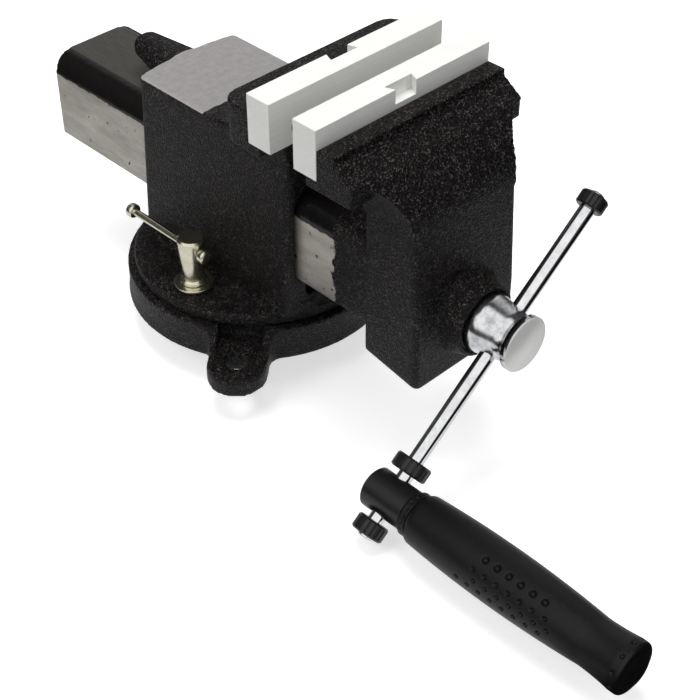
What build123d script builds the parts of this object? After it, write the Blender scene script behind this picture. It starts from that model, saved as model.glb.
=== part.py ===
from build123d import *
from math import cos, radians, sin, tan
import os

os.makedirs("parts", exist_ok=True)

# Clubmaker's bench vise, in millimetres.
# The origin is where the swivel axis meets the bench. +Z is up, +Y points
# from the handle to the rear of the slide, and +X is to the right.

# Fits and gaps
running_fit = 0.08
slide_gap = 0.2
seat_gap = 0.3
thread_fit = 0.05

# Base casting
base_radius = 80.0
base_draft = 4.0
base_height = 21.0
base_edge = 1.0
recess_wall = 4.0
recess_depth = 13.0
lug_count = 2
lug_angle = -139.9
lug_reach = 14.4
lug_radius = 17.2
lug_edge = 2.5
lug_thickness = 11.2
lug_blend = 10.0
lug_side_wall = 4.2
lug_boss_width = 5.5
lug_boss_height = 1.0
bolt_hole_radius = 6.8

# Swivel flange and its spigot
swivel_gap = 0.3
flange_radius = 75.0
flange_thickness = 7.7
flange_edge = 1.5
spigot_radius = 20.0
spigot_length = 11.0

# Swivel lock
lock_body_gap = 3.3
lock_angle = 6.5
lock_bolt_radius = 5.0
lock_head_size = 15.0
lock_head_height = 6.2
lock_slot_floor = 8.5
lock_washer_radius = 11.7
lock_washer_thickness = 2.2
lock_nut_waist_radius = 6.6
lock_nut_top_radius = 8.2
lock_nut_foot_radius = 7.7
lock_nut_foot_height = 1.6
lock_nut_height = 30.5
lock_nut_edge = 1.2
lock_bar_radius = 2.1
lock_bar_drop = 8.1
lock_bar_span = 64.2
lock_bar_end_radius = 4.3
lock_bar_end_length = 5.0
lock_bar_end_edge = 1.6
lock_bore_top = 14.5

# Slide bar, spindle height and the tunnel round the bar
spindle_rise = 39.0
bar_width = 63.0
bar_below = 16.0
bar_above = 40.0
bar_corner = 13.5
bar_wall = 9.5
bar_roof = 10.0
bar_length = 266.8
tunnel_floor_drop = 31.0
rail_width = 7.7

# Fixed jaw body
body_half_width_bottom = 41.0
body_half_width_top = 36.0
body_front_to_axis = 68.8
body_rear_to_axis = 57.0
foot_overhang = 2.0
foot_depth = 14.0
foot_height = 4.0
foot_reach = 1.8
body_corner = 4.0
anvil_roof = 23.8
anvil_bulge = 3.0
horn_length = 37.5
horn_nose = 5.5
horn_nose_share = 0.55
horn_root_half_width = 18.0
horn_root_half_height = 11.8
horn_tip_half_width = 9.5
horn_tip_half_height = 8.0
horn_drop = 0.5

# Jaw beams, shared by both jaws
jaw_width = 125.0
beam_rise = 41.5
beam_height = 24.5
cove_height = 12.0
cove_drop = 10.0
ledge_depth = 8.0
ledge_height = 6.2
fixed_beam_depth = 22.1
fixed_beam_corner = 11.0
fixed_slope_drop = 6.0
neck_depth = 68.0
slope_sweep = 17.0

# Jaw plates
plate_thickness = 16.2
plate_height = 28.8
jaw_gap = 17.1
notch_half_width_outer = 7.3
notch_half_width_inner = 9.5
notch_depth = 5.7
notch_height = 8.4
screw_radius = 3.0
screw_head_radius = 5.0
screw_head_height = 6.0
screw_recess = 0.6
screw_socket_radius = 2.6
screw_bite = 12.0
screw_spread = 42.0

# Moving jaw
strip_depth = 11.7
strip_step = 4.0
moving_beam_depth = 24.2
front_shelf_drop = 12.0
apron_depth = 48.2
apron_back = 9.7
apron_half_width = 38.6
apron_top_drop = 45.0
apron_bottom_drop = 37.0
apron_back_rise = 7.0
apron_soft = 3.5
apron_corner = 6.0
front_lean = 3.5
shelf_sweep = 9.0
lean_sweep = 16.0
front_wall = 16.5
boss_length = 13.5
boss_lip = 2.6
boss_draft = 5.0
boss_recess_gap = 0.6
boss_recess_depth = 3.5

# Spindle and what holds it in the moving jaw
shank_radius = 9.5
screw_thread_radius = 9.0
head_length = 29.0
head_root_radius = 17.6
head_neck_radius = 13.4
groove_radius = 12.2
groove_width = 1.6
head_edge = 0.8
disc_radius = 15.9
disc_thickness = 4.3
spindle_end_clearance = 20.0
thrust_washer_thickness = 1.8
collar_radius = 15.0
collar_length = 10.0
collar_pin_radius = 2.0
spring_washer_thickness = 1.5
spring_length = 12.0
spring_wire = 2.2
spring_turns = 3.5

# Spindle nut on the tunnel floor
nut_side_gap = 3.0
nut_length = 36.0
nut_foot_length = 76.0
nut_foot_height = 8.0
nut_foot_corner = 3.0
nut_screw_radius = 4.0
nut_screw_head_radius = 6.5
nut_screw_head_height = 8.0
nut_screw_spread = 29.0
nut_screw_bite = 7.0

# Handle rod, in distances from the spindle axis along the rod
rod_radius = 4.5
rod_angle = 37.5
rod_behind_disc = 11.2
cap_start = 78.0
cap_length = 8.0
cap_radius = 8.0
rod_end_show = 0.9
rod_gap = 3.2
ring_nut_length = 8.3
ring_nut_radius = 10.3
hub_distance = 103.6
end_nut_length = 8.6
end_nut_radius = 9.0
rib_edge = 0.9

# Grip, in distances along its own axis
hub_radius = 11.4
hub_behind_rod = 12.0
hub_ahead_of_rod = 16.0
set_screw_radius = 2.5
grip_gap = 0.3
grip_collar_radius = 12.6
grip_collar_length = 4.7
grip_collar_edge = 0.5
sleeve_length = 128.0
sleeve_start_radius = 14.2
sleeve_swell_radius = 15.9
sleeve_waist_radius = 13.3
sleeve_end_radius = 14.2
sleeve_edge = 2.0
sleeve_flare_length = 16.0
axle_radius = 4.0
axle_head_radius = 7.0
axle_head_height = 6.0
axle_bite = 9.0
sleeve_pocket_radius = 9.0
sleeve_pocket_depth = 16.0
end_cap_radius = 14.5
end_cap_rim = 8.0
end_cap_dome = 3.2
end_cap_edge = 2.2
end_cap_plug = 8.0

# Heights that follow from the sizes above
base_top_radius = base_radius - base_draft
lug_circle_radius = base_radius + lug_reach
flange_bottom_z = base_height + swivel_gap
flange_top_z = flange_bottom_z + flange_thickness
spindle_z = flange_top_z + spindle_rise
bar_bottom_z = spindle_z - bar_below
bar_top_z = spindle_z + bar_above
tunnel_top_z = bar_top_z + slide_gap
tunnel_floor_z = spindle_z - tunnel_floor_drop
anvil_z = tunnel_top_z + anvil_roof
beam_top_z = anvil_z + beam_rise
beam_bottom_z = beam_top_z - beam_height
ledge_z = beam_bottom_z + ledge_height
plate_top_z = ledge_z + plate_height
plate_screw_z = (ledge_z + beam_top_z) / 2
cove_top_z = beam_bottom_z + cove_height
cove_start_z = anvil_z - cove_drop

# Places along the slide that follow from the sizes above
fixed_seat_y = -body_front_to_axis
fixed_face_y = fixed_seat_y - plate_thickness
moving_face_y = fixed_face_y - jaw_gap
moving_seat_y = moving_face_y - plate_thickness
bar_end_y = moving_seat_y + bar_length
apron_back_y = moving_seat_y - apron_back
apron_front_y = moving_seat_y - apron_depth
cavity_front_y = apron_front_y + front_wall
boss_front_y = apron_front_y - boss_length
boss_floor_y = boss_front_y + boss_recess_depth
head_root_y = boss_floor_y - running_fit - thrust_washer_thickness
disc_front_y = head_root_y - head_length
rod_y = disc_front_y + disc_thickness + rod_behind_disc
spindle_end_y = bar_end_y - spindle_end_clearance

lock_x = -body_half_width_bottom - lock_body_gap - lock_washer_radius
lock_y = lock_x * tan(radians(lock_angle))
lock_circle_radius = -lock_x / cos(radians(lock_angle))
ring_nut_start = hub_distance - hub_radius - rod_gap - ring_nut_length
end_nut_start = hub_distance + hub_radius + rod_gap

half_jaw = jaw_width / 2
half_bar = bar_width / 2
cavity_half_width = half_bar - bar_wall
nut_half_width = cavity_half_width - nut_side_gap
boss_recess_radius = head_root_radius + boss_recess_gap
boss_front_radius = boss_recess_radius + boss_lip
boss_root_radius = boss_front_radius + boss_draft
horn_end_y = body_rear_to_axis + horn_length
cavity_top_z = bar_top_z - bar_roof

# The rod leans in the plane across the spindle. Its own plane has +Z along the rod.
rod_direction = (cos(radians(rod_angle)), 0, sin(radians(rod_angle)))
rod_plane = Plane(origin=(0, rod_y, spindle_z), x_dir=(0, 1, 0), z_dir=rod_direction)
hub_x = -hub_distance * cos(radians(rod_angle))
hub_z = spindle_z - hub_distance * sin(radians(rod_angle))


def section_plane(y):
    """A plane across the slide at y, with local x to the right and local y up."""
    return Plane(origin=(0, y, 0), x_dir=(1, 0, 0), z_dir=(0, -1, 0))


def side_plane(x):
    """A plane along the slide at x, with local x to the rear and local y up."""
    return Plane(origin=(x, 0, 0), x_dir=(0, 1, 0), z_dir=(1, 0, 0))


def lug_places():
    """Centres of the base's bolt lugs, evenly round the swivel axis."""
    return PolarLocations(lug_circle_radius, lug_count, start_angle=lug_angle)


# Base: a drafted disc with a T-shaped ring slot for the lock bolts, a bored
# centre for the swivel spigot, a recess beneath and bolt lugs with open pockets.
slot_neck = lock_bolt_radius + seat_gap
slot_wide = lock_head_size / 2 + 4 * seat_gap
slot_roof_z = lock_slot_floor + lock_head_height + 2 * seat_gap
lug_outer_radius = lug_circle_radius + lug_radius
lug_pocket_radius = lug_radius - lug_side_wall
recess_inner_radius = spigot_radius + 2 * recess_wall
recess_outer_radius = lock_circle_radius - slot_wide - recess_wall
with BuildPart() as base_casting:
    with BuildSketch(Plane.XY) as lug_outline:
        Circle(base_radius - base_edge)
        with PolarLocations(lug_circle_radius / 2, lug_count, start_angle=lug_angle):
            Rectangle(lug_circle_radius, 2 * lug_radius)
        with lug_places():
            Circle(lug_radius)
        throat = lug_outline.vertices().filter_by(
            lambda v: abs(Vector(v.X, v.Y).length - base_radius + base_edge) < 0.01
        )
        fillet(throat, lug_blend)
    extrude(amount=base_height)
    for lug in range(lug_count):
        turn = lug_angle + lug * 360 / lug_count
        with BuildSketch(Plane.XZ.rotated((0, 0, turn))) as above_lug:
            with BuildLine():
                Polyline(
                    (base_top_radius, base_height),
                    (lug_circle_radius - bolt_hole_radius, lug_thickness),
                    (lug_outer_radius + 1, lug_thickness),
                    (lug_outer_radius + 1, base_height + 1),
                    (base_top_radius, base_height + 1),
                    close=True,
                )
            make_face()
        extrude(amount=3 * lug_radius, both=True, mode=Mode.SUBTRACT)
    with BuildSketch(Plane.XY.offset(lug_thickness)) as lug_pocket:
        with lug_places():
            Circle(lug_pocket_radius)
            with Locations((-lug_pocket_radius, 0)):
                Rectangle(2 * lug_pocket_radius, 2 * lug_pocket_radius)
    extrude(amount=base_height, mode=Mode.SUBTRACT)
    with BuildSketch(Plane.XY.offset(lug_thickness)) as lug_boss:
        with lug_places():
            Circle(bolt_hole_radius + lug_boss_width)
    extrude(amount=lug_boss_height)
    lug_rim = base_casting.edges().filter_by(GeomType.CIRCLE).filter_by(
        lambda e: abs(e.radius - lug_radius) < 0.01 and e.center().Z > lug_thickness / 2
    )
    fillet(lug_rim, lug_edge)
    with BuildSketch(Plane.XZ) as disc_half:
        with BuildLine():
            Polyline(
                (0, 0),
                (base_radius - base_edge, 0),
                (base_radius, base_edge),
                (base_top_radius + base_edge, base_height - base_edge),
                (base_top_radius, base_height),
                (0, base_height),
                close=True,
            )
        make_face()
    revolve(axis=Axis.Z)
    with BuildSketch(Plane.XY.offset(lug_thickness)) as pocket_in_disc:
        with lug_places():
            with Locations((-lug_reach, 0)):
                Rectangle(2 * lug_pocket_radius - lug_side_wall, 2 * lug_pocket_radius)
    extrude(amount=base_height, mode=Mode.SUBTRACT)
    with BuildSketch(Plane.XZ) as ring_slot:
        with Locations((lock_circle_radius, (slot_roof_z + base_height) / 2)):
            Rectangle(2 * slot_neck, base_height - slot_roof_z)
        with Locations((lock_circle_radius, (lock_slot_floor + slot_roof_z) / 2)):
            Rectangle(2 * slot_wide, slot_roof_z - lock_slot_floor)
    revolve(axis=Axis.Z, mode=Mode.SUBTRACT)
    with BuildSketch(Plane.XY) as underside:
        Circle(recess_outer_radius)
        Circle(recess_inner_radius, mode=Mode.SUBTRACT)
    extrude(amount=recess_depth, mode=Mode.SUBTRACT)
    with BuildSketch(Plane.XY) as bores:
        Circle(spigot_radius + running_fit)
        with lug_places():
            Circle(bolt_hole_radius)
    extrude(amount=base_height, mode=Mode.SUBTRACT)
base_casting.part.label = "base_casting"
export_step(base_casting.part, "parts/base_casting.step")

# Fixed jaw: the flared beam comes first, then the sloping web, the drafted
# body, the anvil with its horn, the swivel flange and spigot, and the tunnel.
neck_rear_y = fixed_seat_y + neck_depth
beam_rear_y = fixed_seat_y + fixed_beam_depth
slope_top_z = beam_top_z - fixed_slope_drop
body_middle_y = (body_rear_to_axis - body_front_to_axis) / 2
body_length = body_rear_to_axis + body_front_to_axis
with BuildPart() as fixed_jaw:
    with BuildSketch(section_plane(fixed_seat_y)) as beam_front:
        with BuildLine():
            Line((0, cove_start_z), (body_half_width_top, cove_start_z))
            Bezier(
                (body_half_width_top, cove_start_z),
                (body_half_width_top, beam_bottom_z),
                (body_half_width_top + cove_height, cove_top_z),
                (half_jaw, cove_top_z),
            )
            Line((half_jaw, cove_top_z), (half_jaw, beam_top_z))
            Line((half_jaw, beam_top_z), (0, beam_top_z))
            Line((0, beam_top_z), (0, cove_start_z))
        make_face()
        mirror(about=Plane.YZ)
    extrude(amount=-fixed_beam_depth)
    with BuildSketch(section_plane(fixed_seat_y)) as beam_end:
        with Locations((0, (beam_bottom_z + beam_top_z) / 2)):
            Rectangle(jaw_width, beam_height)
    extrude(amount=-fixed_beam_depth)
    with BuildSketch(Plane.XY.offset(cove_start_z)) as beam_plan:
        with Locations((0, (fixed_seat_y + beam_rear_y) / 2)):
            Rectangle(jaw_width, fixed_beam_depth)
        fillet(beam_plan.vertices().group_by(Axis.Y)[-1], fixed_beam_corner)
    extrude(amount=beam_top_z - cove_start_z, mode=Mode.INTERSECT)
    with BuildSketch(side_plane(0)) as web:
        with BuildLine():
            Line((beam_rear_y - 1, cove_start_z), (beam_rear_y - 1, slope_top_z))
            Line((beam_rear_y - 1, slope_top_z), (beam_rear_y, slope_top_z))
            Bezier(
                (beam_rear_y, slope_top_z),
                (beam_rear_y, anvil_z + cove_height),
                (beam_rear_y + slope_sweep, anvil_z),
                (neck_rear_y, anvil_z),
            )
            Line((neck_rear_y, anvil_z), (neck_rear_y, cove_start_z))
            Line((neck_rear_y, cove_start_z), (beam_rear_y - 1, cove_start_z))
        make_face()
    extrude(amount=body_half_width_top, both=True)
    with BuildSketch(side_plane(0)) as ledge:
        with Locations((fixed_seat_y - ledge_depth / 2, (beam_bottom_z + ledge_z) / 2)):
            Rectangle(ledge_depth, ledge_z - beam_bottom_z)
    extrude(amount=half_jaw, both=True)
    with BuildSketch(Plane.XY.offset(flange_top_z - 1)) as body_bottom:
        with Locations((0, body_middle_y)):
            RectangleRounded(2 * body_half_width_bottom, body_length, body_corner)
    with BuildSketch(Plane.XY.offset(anvil_z)) as body_top:
        with Locations((0, body_middle_y)):
            RectangleRounded(2 * body_half_width_top, body_length, body_corner)
    loft(ruled=True)
    anvil_corner_x = body_half_width_top - body_corner
    with BuildSketch(Plane.XY.offset(anvil_z)) as anvil_rear:
        with BuildLine():
            ThreePointArc(
                (-anvil_corner_x, body_rear_to_axis),
                (0, body_rear_to_axis + anvil_bulge),
                (anvil_corner_x, body_rear_to_axis),
            )
            Line((anvil_corner_x, body_rear_to_axis), (-anvil_corner_x, body_rear_to_axis))
        make_face()
    extrude(amount=-horn_root_half_height)
    horn_root_z = anvil_z - horn_drop - horn_root_half_height
    horn_tip_z = anvil_z - horn_drop - horn_tip_half_height
    with BuildSketch(section_plane(body_rear_to_axis - 1)) as horn_root:
        with Locations((0, horn_root_z)):
            Ellipse(horn_root_half_width, horn_root_half_height)
    with BuildSketch(section_plane(horn_end_y)) as horn_tip:
        with Locations((0, horn_tip_z)):
            Ellipse(horn_tip_half_width, horn_tip_half_height)
    with BuildSketch(section_plane(horn_end_y + horn_nose)) as horn_nose_end:
        with Locations((0, horn_tip_z)):
            Ellipse(horn_tip_half_width * horn_nose_share, horn_tip_half_height * horn_nose_share)
    loft(ruled=True)
    with BuildSketch(Plane.XY.offset(flange_top_z)) as foot:
        with Locations((0, fixed_seat_y - foot_reach + foot_depth / 2)):
            Rectangle(2 * (body_half_width_bottom + foot_overhang), foot_depth)
        Circle(flange_radius + foot_reach, mode=Mode.INTERSECT)
    extrude(amount=foot_height)
    with BuildSketch(Plane.XZ) as flange_half:
        with BuildLine():
            Polyline(
                (0, flange_bottom_z),
                (flange_radius, flange_bottom_z),
                (flange_radius, flange_top_z - flange_edge),
                (flange_radius - flange_edge, flange_top_z),
                (0, flange_top_z),
                close=True,
            )
        make_face()
    revolve(axis=Axis.Z)
    with BuildSketch(Plane.XY.offset(flange_bottom_z)) as spigot:
        Circle(spigot_radius)
    extrude(amount=-spigot_length)
    # The tunnel: a close fit round the bar, with rails under its two walls and
    # a deeper floor between them for the spindle nut.
    with BuildSketch(section_plane(fixed_seat_y - foot_depth)) as tunnel:
        with Locations((0, (bar_bottom_z - slide_gap + tunnel_top_z) / 2)):
            Rectangle(bar_width + 2 * slide_gap, tunnel_top_z - bar_bottom_z + slide_gap)
        fillet(tunnel.vertices().group_by(Axis.Y)[-1], bar_corner + slide_gap)
        with Locations((0, (tunnel_floor_z + spindle_z) / 2)):
            Rectangle(bar_width - 2 * rail_width, spindle_z - tunnel_floor_z)
    extrude(amount=-bar_length, mode=Mode.SUBTRACT)
    with Locations((lock_x, lock_y, flange_top_z), (-lock_x, -lock_y, flange_top_z)):
        Hole(lock_bolt_radius + seat_gap, depth=flange_thickness)
    with BuildSketch(section_plane(fixed_seat_y)) as plate_taps:
        with Locations((-screw_spread, plate_screw_z), (screw_spread, plate_screw_z)):
            Circle(screw_radius + thread_fit)
    extrude(amount=-(screw_bite + 1), mode=Mode.SUBTRACT)
    with BuildSketch(Plane.XY.offset(flange_bottom_z)) as nut_screw_holes:
        with Locations((0, -nut_screw_spread), (0, nut_screw_spread)):
            Circle(nut_screw_radius + thread_fit)
    extrude(amount=tunnel_floor_z - flange_bottom_z, mode=Mode.SUBTRACT)
    with BuildSketch(Plane.XY.offset(flange_bottom_z)) as nut_screw_recess:
        with Locations((0, -nut_screw_spread), (0, nut_screw_spread)):
            Circle(nut_screw_head_radius + seat_gap)
    extrude(amount=nut_screw_head_height + seat_gap, mode=Mode.SUBTRACT)
fixed_jaw.part.label = "fixed_jaw"
export_step(fixed_jaw.part, "parts/fixed_jaw.step")

# Moving jaw: the flared front block is shaped by its front and side outlines,
# then takes the beam, the slide bar and the spindle boss, and is hollowed.
apron_top_z = beam_top_z - apron_top_drop
apron_bottom_z = spindle_z - apron_bottom_drop
shelf_z = beam_top_z - front_shelf_drop
beam_front_y = moving_seat_y - moving_beam_depth
strip_front_y = moving_seat_y - strip_depth
with BuildPart() as moving_jaw:
    with BuildSketch(side_plane(0)) as apron_block:
        with BuildLine():
            Polyline(
                (apron_front_y + front_lean, apron_top_z),
                (apron_front_y, spindle_z),
                (apron_front_y, apron_bottom_z),
                (apron_back_y, apron_bottom_z + apron_back_rise),
                (apron_back_y, apron_top_z),
                close=True,
            )
        make_face()
    extrude(amount=apron_half_width, both=True)
    lower_corners = moving_jaw.edges().filter_by(
        lambda e: abs(abs(e.center().X) - apron_half_width) < 0.01
        and e.center().Z < apron_bottom_z + apron_back_rise
        and e.center().Y > apron_front_y + 1
    )
    fillet(lower_corners, apron_corner)
    front_edges = moving_jaw.edges().filter_by(
        lambda e: e.center().Y < apron_front_y + front_lean
        and abs(e.center().X) > apron_half_width - apron_corner
        and e.length < spindle_z
    )
    fillet(front_edges, apron_soft)
    with BuildSketch(section_plane(moving_seat_y)) as apron_front:
        with BuildLine():
            Line((0, apron_top_z), (apron_half_width, apron_top_z))
            Bezier(
                (apron_half_width, apron_top_z),
                (apron_half_width, beam_bottom_z),
                (apron_half_width + cove_height, cove_top_z),
                (half_jaw, cove_top_z),
            )
            Line((half_jaw, cove_top_z), (half_jaw, shelf_z))
            Line((half_jaw, shelf_z), (0, shelf_z))
            Line((0, shelf_z), (0, apron_top_z))
        make_face()
        mirror(about=Plane.YZ)
    extrude(amount=apron_depth)
    with BuildSketch(side_plane(0)) as apron_side:
        with BuildLine():
            Line((beam_front_y, shelf_z), (beam_front_y - 1, shelf_z))
            Bezier(
                (beam_front_y - 1, shelf_z),
                (beam_front_y - shelf_sweep, shelf_z - shelf_sweep),
                (apron_front_y + front_lean, apron_top_z + lean_sweep),
                (apron_front_y + front_lean, apron_top_z),
            )
            Line((apron_front_y + front_lean, apron_top_z), (apron_front_y, spindle_z))
            Line((apron_front_y, spindle_z), (apron_front_y, apron_bottom_z))
            Line((apron_front_y, apron_bottom_z), (apron_back_y, apron_bottom_z + apron_back_rise))
            Line((apron_back_y, apron_bottom_z + apron_back_rise), (apron_back_y, apron_top_z))
            Line((apron_back_y, apron_top_z), (moving_seat_y, beam_bottom_z))
            Line((moving_seat_y, beam_bottom_z), (moving_seat_y, shelf_z))
            Line((moving_seat_y, shelf_z), (beam_front_y, shelf_z))
        make_face()
    extrude(amount=jaw_width, both=True, mode=Mode.INTERSECT)
    with BuildSketch(side_plane(0)) as beam_side:
        with BuildLine():
            Polyline(
                (moving_seat_y, beam_top_z),
                (strip_front_y, beam_top_z),
                (strip_front_y, beam_top_z - strip_step),
                (beam_front_y, shelf_z),
                (beam_front_y, beam_bottom_z),
                (moving_seat_y + ledge_depth, beam_bottom_z),
                (moving_seat_y + ledge_depth, ledge_z),
                (moving_seat_y, ledge_z),
                close=True,
            )
        make_face()
    extrude(amount=half_jaw, both=True)
    with BuildSketch(section_plane(bar_end_y)) as bar_section:
        with Locations((0, (bar_bottom_z + bar_top_z) / 2)):
            Rectangle(bar_width, bar_top_z - bar_bottom_z)
        fillet(bar_section.vertices().group_by(Axis.Y)[-1], bar_corner)
    extrude(amount=bar_end_y - apron_back_y + 1)
    with BuildSketch(section_plane(apron_front_y + boss_draft)) as boss_root:
        with Locations((0, spindle_z)):
            Circle(boss_root_radius)
    with BuildSketch(section_plane(boss_front_y)) as boss_front:
        with Locations((0, spindle_z)):
            Circle(boss_front_radius)
    loft(ruled=True)
    with BuildSketch(section_plane(bar_end_y)) as cavity:
        with Locations((0, cavity_top_z / 2)):
            Rectangle(2 * cavity_half_width, cavity_top_z)
        fillet(cavity.vertices().group_by(Axis.Y)[-1], bar_wall / 2)
    extrude(amount=bar_end_y - cavity_front_y, mode=Mode.SUBTRACT)
    with BuildSketch(section_plane(cavity_front_y)) as spindle_bore:
        with Locations((0, spindle_z)):
            Circle(shank_radius + running_fit)
    extrude(amount=cavity_front_y - boss_front_y, mode=Mode.SUBTRACT)
    with BuildSketch(section_plane(boss_floor_y)) as boss_recess:
        with Locations((0, spindle_z)):
            Circle(boss_recess_radius)
    extrude(amount=boss_recess_depth, mode=Mode.SUBTRACT)
    with BuildSketch(section_plane(moving_seat_y)) as moving_taps:
        with Locations((-screw_spread, plate_screw_z), (screw_spread, plate_screw_z)):
            Circle(screw_radius + thread_fit)
    extrude(amount=screw_bite + 1, mode=Mode.SUBTRACT)
moving_jaw.part.label = "moving_jaw"
export_step(moving_jaw.part, "parts/moving_jaw.step")


def jaw_plate(seat_y, towards_face):
    """One jaw plate against its seat, with a dovetail notch and two counterbored holes."""
    face_y = seat_y + towards_face * plate_thickness
    inner_y = seat_y + towards_face * notch_depth
    recess_y = face_y - towards_face * (screw_head_height + screw_recess)
    with BuildPart() as plate:
        with BuildSketch(Plane.XY.offset(ledge_z)) as blank:
            with Locations((0, (seat_y + face_y) / 2)):
                Rectangle(jaw_width, plate_thickness)
        extrude(amount=plate_height)
        with BuildSketch(Plane.XY.offset(plate_top_z)) as notch:
            with BuildLine():
                Polyline(
                    (-notch_half_width_outer, seat_y),
                    (notch_half_width_outer, seat_y),
                    (notch_half_width_inner, inner_y),
                    (-notch_half_width_inner, inner_y),
                    close=True,
                )
            make_face()
        extrude(amount=-notch_height, mode=Mode.SUBTRACT)
        with BuildSketch(section_plane(face_y)) as holes:
            with Locations((-screw_spread, plate_screw_z), (screw_spread, plate_screw_z)):
                Circle(screw_radius + seat_gap)
        extrude(amount=towards_face * plate_thickness, mode=Mode.SUBTRACT)
        with BuildSketch(section_plane(recess_y)) as counterbores:
            with Locations((-screw_spread, plate_screw_z), (screw_spread, plate_screw_z)):
                Circle(screw_head_radius + seat_gap)
        extrude(amount=-towards_face * plate_thickness, mode=Mode.SUBTRACT)
    return plate.part


def plate_screws(seat_y, towards_face):
    """The two socket screws of a plate, heads towards the gripping face."""
    head_y = seat_y + towards_face * (plate_thickness - screw_recess)
    under_y = head_y - towards_face * screw_head_height
    tip_y = seat_y - towards_face * screw_bite
    with BuildPart() as screws:
        with BuildSketch(section_plane(under_y)) as heads:
            with Locations((-screw_spread, plate_screw_z), (screw_spread, plate_screw_z)):
                Circle(screw_head_radius)
        extrude(amount=-towards_face * screw_head_height)
        with BuildSketch(section_plane(head_y)) as sockets:
            with Locations((-screw_spread, plate_screw_z), (screw_spread, plate_screw_z)):
                RegularPolygon(screw_socket_radius, 6)
        extrude(amount=towards_face * screw_head_height / 2, mode=Mode.SUBTRACT)
        with BuildSketch(section_plane(tip_y)) as shanks:
            with Locations((-screw_spread, plate_screw_z), (screw_spread, plate_screw_z)):
                Circle(screw_radius)
        extrude(amount=-towards_face * abs(under_y - tip_y))
    return screws.part


plates = {
    "fixed_jaw_plate": jaw_plate(fixed_seat_y, -1),
    "moving_jaw_plate": jaw_plate(moving_seat_y, 1),
    "fixed_plate_screws": plate_screws(fixed_seat_y, -1),
    "moving_plate_screws": plate_screws(moving_seat_y, 1),
}
for name, shape in plates.items():
    shape.label = name
    export_step(shape, f"parts/{name}.step")

# Spindle: screw, plain shank, tapered head with the rod's cross hole, a groove
# and the end disc, all turned about one axis.
collar_start_y = cavity_front_y + spring_washer_thickness + spring_length + 2 * seat_gap
thread_start_y = collar_start_y + collar_length + seat_gap
head_neck_y = disc_front_y + disc_thickness + groove_width
with BuildPart() as spindle:
    with BuildSketch(Plane.XY.offset(spindle_z)) as half_profile:
        with BuildLine():
            Polyline(
                (0, disc_front_y),
                (disc_radius - head_edge, disc_front_y),
                (disc_radius, disc_front_y + head_edge),
                (disc_radius, disc_front_y + disc_thickness),
                (groove_radius, disc_front_y + disc_thickness),
                (groove_radius, head_neck_y),
                (head_neck_radius, head_neck_y),
                (head_root_radius, head_root_y - head_edge),
                (head_root_radius - head_edge, head_root_y),
                (shank_radius, head_root_y),
                (shank_radius, thread_start_y),
                (screw_thread_radius, thread_start_y + shank_radius - screw_thread_radius),
                (screw_thread_radius, spindle_end_y - 2 * head_edge),
                (screw_thread_radius - 2 * head_edge, spindle_end_y),
                (0, spindle_end_y),
                close=True,
            )
        make_face()
    revolve(axis=Axis((0, 0, spindle_z), (0, 1, 0)))
    with BuildSketch(rod_plane) as rod_hole:
        Circle(rod_radius + running_fit)
    extrude(amount=2 * head_root_radius, both=True, mode=Mode.SUBTRACT)
    with BuildSketch(Plane.XY.offset(spindle_z)) as pin_hole:
        with Locations((0, collar_start_y + collar_length / 2)):
            Circle(collar_pin_radius + thread_fit)
    extrude(amount=2 * shank_radius, both=True, mode=Mode.SUBTRACT)
spindle.part.label = "spindle"
export_step(spindle.part, "parts/spindle.step")


def spindle_ring(start_y, length, outer, inner):
    """A plain ring round the spindle axis, from start_y towards the rear."""
    with BuildPart() as ring:
        with BuildSketch(section_plane(start_y)) as ring_face:
            with Locations((0, spindle_z)):
                Circle(outer)
                Circle(inner, mode=Mode.SUBTRACT)
        extrude(amount=-length)
    return ring.part


thrust_washer = spindle_ring(
    head_root_y, thrust_washer_thickness, boss_recess_radius - boss_recess_gap, shank_radius + running_fit
)
spring_washer = spindle_ring(
    cavity_front_y + seat_gap, spring_washer_thickness, collar_radius, shank_radius + running_fit
)
rings = {"thrust_washer": thrust_washer, "spring_washer": spring_washer}
for name, shape in rings.items():
    shape.label = name
    export_step(shape, f"parts/{name}.step")

# Retaining collar with its cross pin.
collar_blank = spindle_ring(collar_start_y, collar_length, collar_radius, shank_radius + thread_fit)
with BuildPart() as spindle_collar:
    add(collar_blank)
    with BuildSketch(Plane.XY.offset(spindle_z)) as collar_hole:
        with Locations((0, collar_start_y + collar_length / 2)):
            Circle(collar_pin_radius + thread_fit)
    extrude(amount=collar_radius, both=True, mode=Mode.SUBTRACT)
spindle_collar.part.label = "spindle_collar"
export_step(spindle_collar.part, "parts/spindle_collar.step")

with BuildPart() as collar_pin:
    with BuildSketch(Plane.XY.offset(spindle_z)) as pin_section:
        with Locations((0, collar_start_y + collar_length / 2)):
            Circle(collar_pin_radius)
    extrude(amount=collar_radius - 2 * seat_gap, both=True)
collar_pin.part.label = "collar_pin"
export_step(collar_pin.part, "parts/collar_pin.step")

# Spring between the jaw's inner wall and the collar. It pushes the jaw open.
spring_radius = (shank_radius + collar_radius) / 2
spring_start_y = cavity_front_y + seat_gap + spring_washer_thickness + spring_wire / 2
spring_pitch = (spring_length - spring_wire) / spring_turns
with BuildPart() as spindle_spring:
    with BuildLine() as coil:
        Helix(
            pitch=spring_pitch,
            height=spring_pitch * spring_turns,
            radius=spring_radius,
            center=(0, spring_start_y, spindle_z),
            direction=(0, 1, 0),
        )
    with BuildSketch(Plane(origin=coil.line @ 0, x_dir=(0, 1, 0), z_dir=coil.line % 0)) as wire:
        Rectangle(spring_wire, spring_wire)
    sweep(path=coil.line, is_frenet=True)
spindle_spring.part.label = "spindle_spring"
export_step(spindle_spring.part, "parts/spindle_spring.step")

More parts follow.
